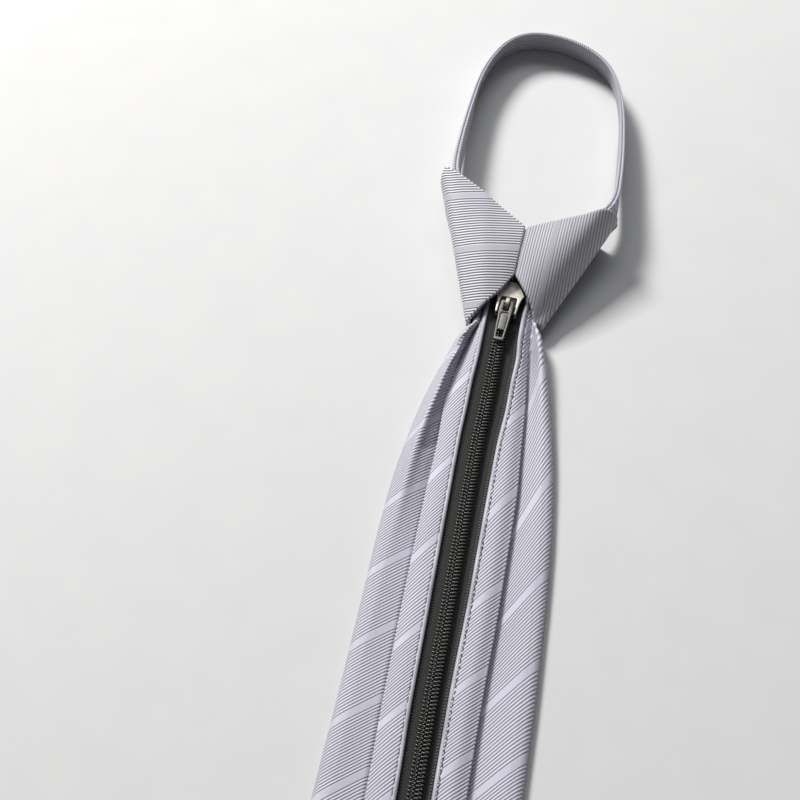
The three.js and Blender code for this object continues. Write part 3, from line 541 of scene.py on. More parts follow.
def rib_cloth(name, pitch=RIB, stripe=STRIPE, phase=0.0, groove=(0.265, 0.262, 0.305), crest=(0.545, 0.540, 0.612), satin=(0.525, 0.520, 0.612), deep=0.15):
    """Silver rep with fine rounded ribs and smooth satin stripes; its colour is darkened in the rib grooves, at the
    float ends and in the stripes' rungs as painted shade. uv x runs across the ribs and y along them, in mm.
    """
    m = Nodes(name)
    s, t = m.uv()
    uneven = m.noise(m.vector(m.math("MULTIPLY", s, 0.35), m.math("MULTIPLY", t, 0.08)), 1.0, 1.0)
    ss = m.math("ADD", s, m.math("MULTIPLY", m.math("SUBTRACT", uneven, 0.5), 0.20))
    rib = m.math("DIVIDE", ss, pitch)
    wave = m.math("ADD", 0.5, m.math("MULTIPLY", 0.5, m.math("COSINE", m.math("MULTIPLY", rib, 2 * math.pi))))
    cord = m.math("POWER", wave, 0.6)
    # smooth stripes
    g = m.math("FRACT", m.math("ADD", m.math("DIVIDE", m.math("SUBTRACT", s, phase), stripe), 0.5))
    d = m.math("MULTIPLY", m.math("ABSOLUTE", m.math("SUBTRACT", g, 0.5)), stripe)
    band = m.ramp(d, 0.85, 1.15, 1.0, 0.0)
    # short floats along each rib, and the fine rungs across a stripe
    tick = m.math("FRACT", m.math("ADD", m.math("DIVIDE", t, 0.52), m.math("MULTIPLY", m.math("FLOOR", m.math("ADD", rib, 0.5)), 0.5)))
    tick = m.math("ABSOLUTE", m.math("SUBTRACT", tick, 0.5))
    rung = m.math("ABSOLUTE", m.math("SUBTRACT", m.math("FRACT", m.math("DIVIDE", t, 0.44)), 0.5))
    fine = m.noise(m.vector(m.math("MULTIPLY", s, 5.0), m.math("MULTIPLY", t, 1.1)), 1.0, 2.0)
    slow = m.noise(m.vector(m.math("MULTIPLY", s, 0.06), m.math("MULTIPLY", t, 0.03)), 1.0, 2.0)
    height = m.math("ADD", cord, m.math("MULTIPLY", tick, 0.30))
    flat = m.math("ADD", 0.80, m.math("ADD", m.math("MULTIPLY", fine, 0.10), m.math("MULTIPLY", rung, 0.16)))
    height = m.mix(band, height, flat, "FLOAT")
    # painted shade: the colour runs from the crest colour down to the darker groove colour with the rib's height, and
    # darkens at the float ends
    shade = m.ramp(m.math("ADD", wave, m.math("MULTIPLY", m.math("SUBTRACT", tick, 0.25), 0.35)), 0.06, 0.80, 0.0, 1.0)
    colour = m.mix(shade, rgb(*groove), rgb(*crest))
    # painted shade: the stripes' rungs are darker in their dips
    colour = m.mix(band, colour, m.mix(m.ramp(rung, 0.05, 0.35), rgb(*(0.80 * c for c in satin)), rgb(*satin)))
    tone = m.math("ADD", 0.90, m.math("ADD", m.math("MULTIPLY", slow, 0.12), m.math("MULTIPLY", fine, 0.10)))
    colour = m.mix(1.0, colour, m.vector(tone, tone, tone), blend="MULTIPLY")
    rough = m.mix(band, 0.56, 0.62, "FLOAT")
    normal = m.bump(height, deep / 1000, 1.0)
    return m.set(Base_Color=colour, Roughness=rough, Normal=normal, Metallic=0.06, Sheen_Weight=0.08, Sheen_Roughness=0.45, IOR=1.45)


def tape_cloth():
    m = Nodes("zipper_tape")
    s, t = m.uv()  # s across the tape from the fabric's edge (negative towards the chain), t along it, in mm
    lane = m.math("DIVIDE", s, 0.66)
    cc = m.math("ABSOLUTE", m.math("SUBTRACT", m.math("FRACT", lane), 0.5))
    lean = m.math("ADD", m.math("DIVIDE", t, 0.80), m.math("ADD", m.math("MULTIPLY", cc, 1.1), m.math("MULTIPLY", m.math("FLOOR", lane), 0.5)))
    loop = m.math("ABSOLUTE", m.math("SUBTRACT", m.math("FRACT", lean), 0.5))
    knit = m.math("MULTIPLY", m.math("SUBTRACT", 0.5, cc), m.ramp(loop, 0.06, 0.42))
    # one column of larger loops
    away = m.math("ABSOLUTE", m.math("ADD", s, 1.25))
    bead = m.math("MULTIPLY", m.ramp(away, 0.12, 0.42, 1.0, 0.0), m.ramp(m.math("ABSOLUTE", m.math("SUBTRACT", m.math("FRACT", m.math("DIVIDE", t, 1.0)), 0.5)), 0.14, 0.34, 0.0, 1.0))
    fuzz = m.noise(m.vector(m.math("MULTIPLY", s, 3.0), m.math("MULTIPLY", t, 3.0)), 1.0, 3.0)
    height = m.math("ADD", m.math("MULTIPLY", knit, 1.5), m.math("ADD", m.math("MULTIPLY", fuzz, 0.35), m.math("MULTIPLY", bead, 0.9)))
    # painted shade: the tape's colour darkens to near black in the knit's hollows and lightens on the loops, following
    # the height
    colour = m.mix(m.ramp(height, 0.15, 1.15), rgb(0.009, 0.010, 0.009), rgb(0.086, 0.092, 0.084))
    return m.set(Base_Color=colour, Roughness=0.80, Normal=m.bump(height, 0.00022), Sheen_Weight=0.06, Specular_IOR_Level=0.35)


def nylon(name, tone):
    m = Nodes(name)
    n = m.noise(m.place(), 900.0, 2.0)
    return m.set(Base_Color=m.mix(n, rgb(*(0.4 * c for c in tone)), rgb(*tone)), Roughness=m.ramp(n, 0.3, 0.7, 0.22, 0.34, smooth=False), Normal=m.bump(n, 0.00002))


def thread(name, a, b):
    m = Nodes(name)
    n = m.noise(m.place(), 2600.0, 2.0)
    return m.set(Base_Color=m.mix(n, rgb(*a), rgb(*b)), Roughness=0.62, Normal=m.bump(n, 0.00004), Sheen_Weight=0.1)


def metal(name, a, b, rough=(0.26, 0.42), grain=1400.0, metallic=1.0, dark=None):
    m = Nodes(name)
    p = m.place()
    n = m.noise(p, grain, 3.0, 0.6)
    big = m.noise(p, 240.0, 2.0)
    colour = m.mix(m.ramp(n, 0.35, 0.65), rgb(*a), rgb(*b))
    if dark:
        colour = m.mix(m.ramp(big, 0.55, 0.75), colour, rgb(*dark))
    return m.set(Base_Color=colour, Metallic=metallic, Roughness=m.ramp(n, 0.3, 0.7, rough[0], rough[1], smooth=False), Normal=m.bump(n, 0.00003, 0.6))


BLADE_CLOTH = rib_cloth("rep_blade")
# the knot's cloth in two copies of one fabric: this lighter one (left wing, sides and front) is painted light, the
# next, darker and flatter one (right wing) is painted shade
KNOT_CLOTH_PAINTED_LIGHT = rib_cloth("rep_knot", pitch=0.95, stripe=19.95, crest=(0.70, 0.695, 0.745), groove=(0.23, 0.228, 0.255), satin=(0.540, 0.535, 0.615), deep=0.18)
WING_CLOTH_PAINTED_SHADE = rib_cloth("rep_knot_wing_painted_shade", pitch=0.95, stripe=19.95, crest=(0.50, 0.497, 0.540), groove=(0.26, 0.258, 0.285), satin=(0.425, 0.422, 0.480), deep=0.09)
STRIP_CLOTH = rib_cloth("rep_strips")
BAND_CLOTH = rib_cloth("rep_band", pitch=0.8, stripe=400, phase=200, groove=(0.17, 0.168, 0.195), crest=(0.62, 0.615, 0.685), deep=0.16)
TAPE = tape_cloth()
NYLON = nylon("coil_nylon", (0.062, 0.062, 0.055))
# the teeth's heads are drawn in a lighter nylon than the rest of the chain, a painted highlight along its middle
HEADS_NYLON_PAINTED_HIGHLIGHT = nylon("coil_nylon_heads_painted_highlight", (0.200, 0.200, 0.185))
NICKEL = metal("slider_nickel", (0.50, 0.460, 0.410), (0.58, 0.540, 0.490), rough=(0.50, 0.62), metallic=0.55, dark=(0.44, 0.405, 0.36))
STEEL = metal("pull_grey", (0.120, 0.118, 0.112), (0.180, 0.177, 0.170), rough=(0.48, 0.62), metallic=0.8)
# near-black metal for the top plate's lower layer, which shows through the open notch as the dark pocket round the
# pull's head
NEAR_BLACK_METAL = metal("slider_dark", (0.010, 0.010, 0.010), (0.020, 0.020, 0.019), rough=(0.45, 0.6), metallic=0.5)
# the stitch thread is drawn near black: a dark grey thread, darkened further as painted shade of the stitch recess
THREAD = thread("stitch_thread", (0.022, 0.022, 0.026), (0.070, 0.069, 0.080))

# ---- blade -----------------------------------------------------------------
def side_line(y, edge, free, crest_in, crest_z, free_z, zb, s, n, broad=0.0):
    """One flap in section, from its free edge over the crest and the folded edge to the panel. All are arrays over y."""
    h = BLADE_WALL / 2
    top, foot = crest_z - h, zb + h
    e = np.minimum(2.4, crest_in * 0.8)
    crest = edge + s * crest_in * (1 + 0.42 * broad)
    mix = lambda a, b, t: a + (b - a) * t
    pts = [
        (free, free_z - h),
        (mix(free, crest, 0.20), mix(free_z, crest_z, 0.03 - 0.05 * broad) - h),
        (mix(free, crest, 0.44), mix(free_z, crest_z, 0.20 + 0.34 * broad) - h),
        (mix(free, crest, 0.70), mix(free_z, crest_z, 0.62 + 0.32 * broad) - h),
        (mix(free, crest, 0.87), mix(free_z, crest_z, 0.92 + 0.08 * broad) - h),
        (crest, top),
        (edge + s * (h + crest_in * 0.28), mix(foot, top, 0.88)),
        (edge + s * h, mix(foot, top, 0.52)),
        (edge + s * (h + e * 0.3), mix(foot, top, 0.14)),
        (edge + s * (h + e), foot),
    ]
    line = np.stack([np.stack([x + 0 * y, z + 0 * y], axis=-1) for x, z in pts], axis=1)  # (rows, 10, 2)
    return through(line, n)


LEFT_FLAP_RIBS = [(-430, 41), (-181, 41), (-157, 41.5), (-132, 42), (-107, 43.5), (-83, 45), (-60, 48), (-40, 52), (-20, 56), (15, 58)]
LEFT_FLAP_STRIPES = (-58.0, -82.5, -107.0, -132.3, -157.3, -180.9)
RIGHT_FLAP_RIBS = [(-430, 44), (-181, 45), (-157, 46.5), (-127, 51), (-96.5, 56.5), (-61, 63), (-30, 66), (0, 67), (15, 67)]
RIGHT_FLAP_STRIPES = (-18.0, -60.9, -96.5, -127.3, -157.2)
LEFT_STRIP_RIBS = [(-430, 47), (-147, 49), (-121, 50), (-90, 54), (-60, 56), (-30, 57), (15, 58)]
LEFT_STRIP_STRIPES = (-61.0, -90.2, -121.4, -147.1)
RIGHT_STRIP_RIBS = [(-430, 46), (-169, 46), (-143, 48.5), (-115, 51), (-83, 58), (-60, 60), (15, 62)]
RIGHT_STRIP_STRIPES = (-48.0, -83.4, -115.3, -143.4, -169.1)


def make_blade():
    ys = np.concatenate([np.arange(13, -60, -1.2), np.arange(-60, -345, -3.0), np.arange(-345, -427, -1.8), [-427.0]])
    g = lambda k: blade_at(k, ys)
    side_n, mid_n = 64, 15
    broad = np.exp(-(((ys + 29) / 18) ** 2))
    left = side_line(ys, g("xl"), g("fl"), g("cl"), g("hl"), g("zl"), g("zb"), 1, side_n, broad)
    right = side_line(ys, g("xr"), g("fr"), g("cr"), g("hr"), g("zr"), g("zb"), -1, side_n)
    # soft folds along the flaps: a roll outside, a shallow valley next to the strip
    near = np.exp(-(((ys + 38) / 26) ** 2))
    a = np.linspace(0, 1, side_n)[None, :]
    below = 1 / (1 + np.exp((ys + 13.5) / 1.6))  # clear of the knot's lower edge
    swell = np.exp(-(((a - 0.49) / 0.13) ** 2))
    left[..., 1] += swell * (2.3 * near * below + 0.05 * np.sin(ys / 7.0))[:, None] * (a < 0.80)
    crease = np.exp(-(((ys + 61 + (left[..., 0].T + 24) * -0.8).T / 2.2) ** 2)) * np.exp(-(((a - 0.25) / 0.18) ** 2))
    left[..., 1] -= 0.55 * crease
    # further down, the left flap drops steeply beside the strip
    lower = np.exp(-(((ys + 62) / 20) ** 2))[:, None]
    left[..., 1] += 0.8 * lower * np.exp(-(((a - 0.42) / 0.12) ** 2)) * (a < 0.80) - 0.5 * lower * np.exp(-(((a - 0.17) / 0.06) ** 2))
    right[..., 1] -= 0.65 * np.exp(-(((a - 0.16) / 0.13) ** 2))
    # a narrow groove along the left strip's outer edge
    beside = (g("fl") - zip_at("ol", ys)) / (g("fl") - g("xl") - g("cl"))
    at_edge = np.interp(beside, [0, 0.20, 0.44, 0.70, 0.87, 1.0], [0, 1, 2, 3, 4, 5])[:, None] / 9
    left[..., 1] -= 0.95 * np.exp(-(((a - at_edge - 0.014) / 0.026) ** 2)) * (1 - near[:, None]) * (ys > ZIP_END)[:, None]
    left[..., 1] -= 0.20 * np.exp(-(((a - 0.14) / 0.10) ** 2)) + 0.8 * near[:, None] * np.exp(-(((a - 0.13) / 0.08) ** 2))
    middle = left[:, -1:, :] + (right[:, -1:, :] - left[:, -1:, :]) * np.linspace(0, 1, mid_n + 2)[1:-1][None, :, None]
    line2 = np.concatenate([left, middle, right[:, ::-1]], axis=1)
    line = np.stack([line2[..., 0], np.repeat(ys[:, None], line2.shape[1], 1), line2[..., 1]], axis=-1)
    p = line.shape[1]
    rings = wall_rings(line, -plan_normals(line), BLADE_WALL)
    rings[..., 2] = np.maximum(rings[..., 2], 0.0)
    # weave: the left fold's cloth, which runs on under the tie, and the right flap's
    length = arc(line)
    fold_l, fold_r = int(side_n * 7 / 9), p - 1 - int(side_n * 7 / 9)
    yy = line[..., 1]
    # the left flap runs in from its fold; the panel is the same cloth on the other side of the fold
    s_left, t_left = weave(length[:, fold_l][:, None] - length, yy, LEFT_FLAP_RIBS, LEFT_FLAP_STRIPES)
    s_right, t_right = weave(np.minimum(length[:, fold_r][:, None] - length, 0.0), yy, RIGHT_FLAP_RIBS, RIGHT_FLAP_STRIPES)
    k = 4
    maps = [ring_uv(s_left, t_left, p, k), ring_uv(s_right, t_right, p, k)]
    side = (np.arange(p - 1) >= fold_r).astype(int)
    which = np.concatenate([side, np.full(k + 1, 1), side[::-1], np.full(k + 1, 0)])
    return loft("blade_cloth", rings, maps, p, k, BLADE_CLOTH, which)


blade = make_blade()

# ---- zipper strips, tape and coil -------------------------------------------
SEAM_AT = {-1: 0.62, 1: 0.85}  # how far the row of stitches lies out from a strip's fold


def strip_seam(side, y, d):
    """1 along the row of stitches, which pulls the cloth down, stronger at each needle hole."""
    step = 4.1 if side < 0 else 2.05
    holes = 0.72 + 0.28 * np.cos(2 * np.pi * (y + 1.6) / step)
    return np.exp(-(((d - SEAM_AT[side]) / (0.26 if side < 0 else 0.34)) ** 2)) * holes


def strip_wall(side, y, d):
    room = np.abs(zip_at("ol" if side < 0 else "or", y) - zip_at("il" if side < 0 else "ir", y))
    puff = 0.06 * np.exp(-(((d - 0.15) / 0.25) ** 2))
    return STRIP_WALL * (1.0 - 0.22 * d / room) - 0.42 * strip_seam(side, y, d) + puff


def strip_middle(side, y, d):
    """Height of a strip's middle, d mm out from its fold: a soft crown, rolled down to the flap at the outer edge."""
    room = np.abs(zip_at("ol" if side < 0 else "or", y) - zip_at("il" if side < 0 else "ir", y))
    a = np.clip(d / room, 0, 1)
    crown = (0.75 if side > 0 else 0.40) * np.clip((-8 - y) / 50.0, 0.25, 1.0) * (room / 8.0)
    rise = crown * np.sin(np.pi * a**1.15) ** 1.3
    slow = wobble(y, 3 + side, 0.10, 43.0) * a * (1 - a) * 3
    flat = STRIP_INNER_Z + (STRIP_OUTER_Z - STRIP_INNER_Z) * a**1.6
    return flat + zip_at("lift", y) * (1 - 0.85 * a**1.4) + STRIP_WALL / 2 * (1 - 0.2 * a) + rise + slow - 0.10 * strip_seam(side, y, d)


def make_strip(side):
    inner, outer = ("il", "ol") if side < 0 else ("ir", "or")
    ys = np.concatenate([np.arange(ZIP_TOP, -60, -1.0), np.arange(-60, ZIP_END, -2.0), [ZIP_END]])
    xi, xo, lift = zip_at(inner, ys), zip_at(outer, ys), zip_at("lift", ys)
    rim = np.array([0, 0.06, 0.13, 0.2, 0.28, 0.35])
    n = 32
    room = np.abs(xo - xi)[:, None]
    a = np.linspace(0, 1, n - len(rim) + 1)[1:] ** 1.15
    d = np.concatenate([rim[None, :] + 0 * room, rim[-1] + (room - rim[-1]) * a[None, :]], axis=1)  # distance out from the fold
    x = xi[:, None] + side * d
    z = strip_middle(side, ys[:, None] + 0 * d, d)
    line = np.stack([x, np.repeat(ys[:, None], n, 1), z], axis=-1)
    nrm = plan_normals(line) * (1 if side > 0 else -1)
    rings = wall_rings(line, nrm, strip_wall(side, ys[:, None] + 0 * d, d))
    length = arc(line)
    s, t = weave(side * length, line[..., 1], *((LEFT_STRIP_RIBS, LEFT_STRIP_STRIPES) if side < 0 else (RIGHT_STRIP_RIBS, RIGHT_STRIP_STRIPES)))
    name = "zip_strip_left_cloth" if side < 0 else "zip_strip_right_cloth"
    rolled = (np.arange(n - 1) < len(rim) - 1).astype(int)
    which = np.concatenate([rolled, np.zeros(5, int), rolled[::-1], np.ones(5, int)])
    return loft(name, rings, [ring_uv(s, t, n), ring_uv(0 * s + 5.28 * RIB, line[..., 1], n)], n, 4, STRIP_CLOTH, which)


def make_tape(side):
    edge = "il" if side < 0 else "ir"
    ys = np.concatenate([np.arange(ZIP_TOP + 7, -40, -1.0), np.arange(-40, ZIP_END, -3.0), [ZIP_END]])
    lift = zip_at("lift", ys)
    room = np.abs(zip_at("ol" if side < 0 else "or", ys) - zip_at(edge, ys))
    hidden = np.minimum(3.0, room * 0.5)
    parted = np.minimum(0.2 + np.maximum(0, ys - 1) * 0.5, 1.15) * (1 - 0.9 * np.clip((ys - 9.5) / 2.5, 0, 1))
    x0, x1 = zip_at("cx", ys) + side * parted, zip_at(edge, ys) + side * hidden
    n = 10
    a = np.linspace(0, 1, n)
    x = x0[:, None] + (x1 - x0)[:, None] * a[None, :]
    z = TAPE_Z + TAPE_WALL / 2 + lift[:, None] + 0 * x
    line = np.stack([x, np.repeat(ys[:, None], n, 1), z], axis=-1)
    rings = wall_rings(line, np.broadcast_to(np.array([0, 0, 1.0]), line.shape), TAPE_WALL)
    edge_x = zip_at(edge, ys)[:, None]
    return loft("zip_tape_left_cloth" if side < 0 else "zip_tape_right_cloth", rings, ring_uv((x - edge_x) * side, np.repeat(ys[:, None], n, 1), n), n, 4, TAPE)


def make_coil(side):
    """One half of the chain: a flattened spiral whose heads lock between those of the other half. It runs on, parted, above the slider."""
    pitch, per, start = 1.24, 18, 12.6
    turns = int((start - COIL_END) / pitch)
    th = np.linspace(0, turns * 2 * np.pi, turns * per + 1)
    r, half_w, half_h = 0.30, 1.18, 0.95
    y = start - pitch * (th / (2 * np.pi) + 0.17 * np.sin(th)) - (0 if side < 0 else pitch / 2)
    c, s = np.cos(th), np.sin(th)
    sq = lambda v, e: np.sign(v) * np.abs(v) ** e
    parted = np.minimum(0.2 + np.maximum(0, y - 1) * 0.5, 1.15)
    middle = np.maximum(0.90, parted + 1.0)
    x = zip_at("cx", y) + side * (middle + (half_w - r) * sq(c, 0.8))
    z = COIL_Z + half_h + zip_at("lift", y) + (half_h - r) * sq(s, 0.7)
    path = np.stack([x, y, z], axis=-1)
    # the pressed heads of the teeth, which stand a little proud along the middle
    k = ((np.arange(turns) + 0.45) * per).astype(int)
    heads = np.stack([x[k] - side * 0.02, y[k], COIL_Z + half_h + zip_at("lift", y[k]) + 0.60], axis=-1)
    # the heads take the lighter nylon, painted highlight
    return tube_mesh("zip_coil_left_turns" if side < 0 else "zip_coil_right_turns", [path], r, 7, NYLON, extra=(*beads(heads, (0.30, 0.40, 0.38)), HEADS_NYLON_PAINTED_HIGHLIGHT))


strips = {s: make_strip(s) for s in (-1, 1)}
tapes = {s: make_tape(s) for s in (-1, 1)}
coils = {s: make_coil(s) for s in (-1, 1)}


def strip_top(side, y, d):
    """Height of a strip's upper face, d mm out from its fold."""
    return strip_middle(side, y, d) + strip_wall(side, y, d) / 2


def make_stitches(side):
    """The row of stitches that holds a strip to the tape: single dashes on the left, twisted pairs on the right."""
    paths, step = [], 4.1 if side < 0 else 2.05
    key = "il" if side < 0 else "ir"
    y = -1.5 - (0.0 if side < 0 else 0.6)
    i = 0
    while y > ZIP_END + 4:
        long = 2.7 if side < 0 else 1.75
        t = np.linspace(0, 1, 9)
        yy = y - long * t
        lean = 0.0 if side < 0 else (0.62 if i % 2 else -0.50)
        d = SEAM_AT[side] + lean * (t - 0.5) + 0.05 * math.sin(i * 1.7)
        x = zip_at(key, yy) + side * d
        z = strip_top(side, yy, d) - 0.22 + 0.24 * np.sin(np.pi * t) ** 0.6
        paths.append(np.stack([x, yy, z], axis=-1))
        y -= step
        i += 1
    return tube_mesh("stitches_left" if side < 0 else "stitches_right", paths, 0.15 if side < 0 else 0.23, 6, THREAD)


stitches = {s: make_stitches(s) for s in (-1, 1)}

# ---- bottom stop --------------------------------------------------------------
def joined(name, parts, material_list, place=None):
    """parts: (points, faces, material index). One mesh object from them, in the tables' frame."""
    pts, faces, mats, base = [], [], [], 0
    for p, f, m in parts:
        pts.append(np.asarray(p, float))
        faces += [tuple(base + v for v in q) for q in f]
        mats += [m] * len(f)
        base += len(p)
    pts = np.concatenate(pts)
    if place is not None:
        pts = place(pts)
    mesh = bpy.data.meshes.new(name)
    mesh.from_pydata([tuple(x) for x in row(pts)], [], faces)
    for m in material_list:
        mesh.materials.append(m)
    mesh.polygons.foreach_set("material_index", mats)
    mesh.polygons.foreach_set("use_smooth", [True] * len(mesh.polygons))
    mesh.update()
    bm = bmesh.new()
    bm.from_mesh(mesh)
    bmesh.ops.recalc_face_normals(bm, faces=bm.faces)
    bm.to_mesh(mesh)
    bm.free()
    mesh.set_sharp_from_angle(angle=math.radians(32))
    return add_object(name, mesh)


stop_x = float(zip_at("cx", COIL_END - 2))
stop_outline = rounded([(-2.4, -1.2), (2.4, -1.2), (2.4, 1.2), (-2.4, 1.2)], 0.55)
stop = joined("bottom_stop_piece", [(*plate(stop_outline, [], 0.0, 1.9, 0.35), 0)], [NYLON], lambda p: p + [stop_x, COIL_END - 1.6, COIL_Z])

# ---- slider --------------------------------------------------------------------
SLIDER_AT, SLIDER_ANGLE, HINGE_Z, DROP = (-1.32, -0.6, 4.8), -4.6, 6.35, 8.0


def slider_place(p):
    a = math.radians(SLIDER_ANGLE)
    q = np.array(p, float)
    x, y = q[:, 0] * math.cos(a) - q[:, 1] * math.sin(a), q[:, 0] * math.sin(a) + q[:, 1] * math.cos(a)
    return np.stack([x, y, q[:, 2]], axis=-1) + SLIDER_AT


def pull_place(p):
    a = math.radians(DROP)
    q = np.array(p, float)
    y, z = q[:, 1] * math.cos(a) - q[:, 2] * math.sin(a), q[:, 1] * math.sin(a) + q[:, 2] * math.cos(a)
    return slider_place(np.stack([q[:, 0], y, z + HINGE_Z], axis=-1))


def mirrored(right):
    return right + [(-p[0], *p[1:]) for p in right[::-1]]


def slider_outline(grow):
    return rounded(mirrored([(0.9 + grow, 9.9, 0.8), (2.4 + grow, 8.7, 1.2), (4.45 + grow, 5.3, 0.6), (4.75 + grow, 4.6, 0.5), (4.25 + grow, 3.4, 1.0),
                             (3.9 + grow, 1.6, 1.2), (3.75 + grow, 0.4, 1.0), (3.55 + grow, -3.1, 0.4), (3.05 + grow, -3.6, 0.4)]), 0.5)


def make_slider():
    full = slider_outline(0)
    # the top plate is open where the pull's head lies
    notch = mirrored([(0.9, 9.9, 0.8), (2.4, 8.7, 1.2), (4.45, 5.3, 0.6), (4.75, 4.6, 0.5), (4.25, 3.4, 1.0), (3.9, 1.6, 1.2), (3.75, 0.4, 1.0), (3.55, -3.1, 0.3), (3.25, -3.6, 0.3),
                      (2.85, -3.6, 0.2), (2.75, 3.25, 0.75)])
    parts = [
        (*plate(slider_outline(-0.25), [], 0.0, 0.9, 0.25), 0),
        # the lower layer is near black; through the notch it shows as the dark pocket
        (*plate(full, [], 4.15, 4.8, 0.12), 1),
        (*plate(rounded(notch, 0.4), [], 4.75, 5.35, 0.22), 0),
        (*plate(rounded([(-0.9, 4.2), (0.9, 4.2), (0.9, 8.6), (-0.9, 8.6)], 0.3), [], 0.7, 4.4, 0.05), 0),
    ]
    for s in (-1, 1):
        lo, hi = sorted((s * 2.6, s * 3.5))
        parts.append((*plate(rounded([(lo, -3.4), (hi, -3.4), (hi, 1.6), (lo, 1.6)], 0.25), [], 2.35, 4.4, 0.1), 0))
    # the bridge, a bent strap
    route = through(np.array([(1.55, 4.7), (1.52, 6.1), (1.12, 7.12), (0.35, 7.47), (-0.35, 7.47), (-1.08, 7.12), (-1.42, 6.2), (-1.5, 4.7)]), 26)
    tan = np.gradient(route, axis=0)
    tan /= np.linalg.norm(tan, axis=1, keepdims=True)
    nrm = np.stack([tan[:, 1], -tan[:, 0]], axis=-1)
    section = np.array(rounded([(-0.6, -0.27), (0.6, -0.27), (0.6, 0.27), (-0.6, 0.27)], 0.2, 3))
    pts = np.concatenate([np.stack([section[:, 0], c[0] + n[0] * section[:, 1], c[1] + n[1] * section[:, 1]], axis=-1) for c, n in zip(route, nrm)])
    m = len(section)
    faces = [[i * m + j, i * m + (j + 1) % m, (i + 1) * m + (j + 1) % m, (i + 1) * m + j] for i in range(len(route) - 1) for j in range(m)]
    faces += [list(range(m)), [(len(route) - 1) * m + j for j in range(m)]]
    parts.append((pts, faces, 0))
    return joined("slider_metal", parts, [NICKEL, NEAR_BLACK_METAL], slider_place)


def make_pull():
    half = lambda y: (4.8 + (3.2 - 4.8) * min(max(-y / 15.4, 0), 1)) / 2
    end = 0.55 - 15.4
    full = rounded(mirrored([(half(0) - 0.35, 0.45, 0.35), (half(-3), -3, 3), (half(-8), -8, 3), (half(end), end, 0.55)]), 0.3)
    opening = rounded([(1.05, -0.45), (1.05, -3.6), (-1.05, -3.6), (-1.05, -0.45)], 0.5)
    window = rounded([(half(-11) - 0.62, -10.9), (half(-14) - 0.62, -13.75), (-half(-14) + 0.62, -13.75), (-half(-11) + 0.62, -10.9)], 0.35)
    inside = rounded(mirrored([(half(-4) - 0.75, -4.1, 0.9), (half(-10.4) - 0.6, -10.5, 0.2)]), 0.3)
    tongue = rounded(mirrored([(half(-4.6) - 1.05, -4.75, 1.2), (half(-10.4) - 0.72, -10.75, 0.2)]), 0.3)
    parts = [
        (*plate(full, [opening, window], -0.42, 0.12, 0.16), 0),
        (*plate(full, [opening, window, inside], 0.05, 0.45, 0.17), 0),
        (*plate(tongue, [], 0.05, 0.50, 0.18), 0),
    ]
    return joined("pull_metal", parts, [STEEL], pull_place)


slider = make_slider()
pull = make_pull()

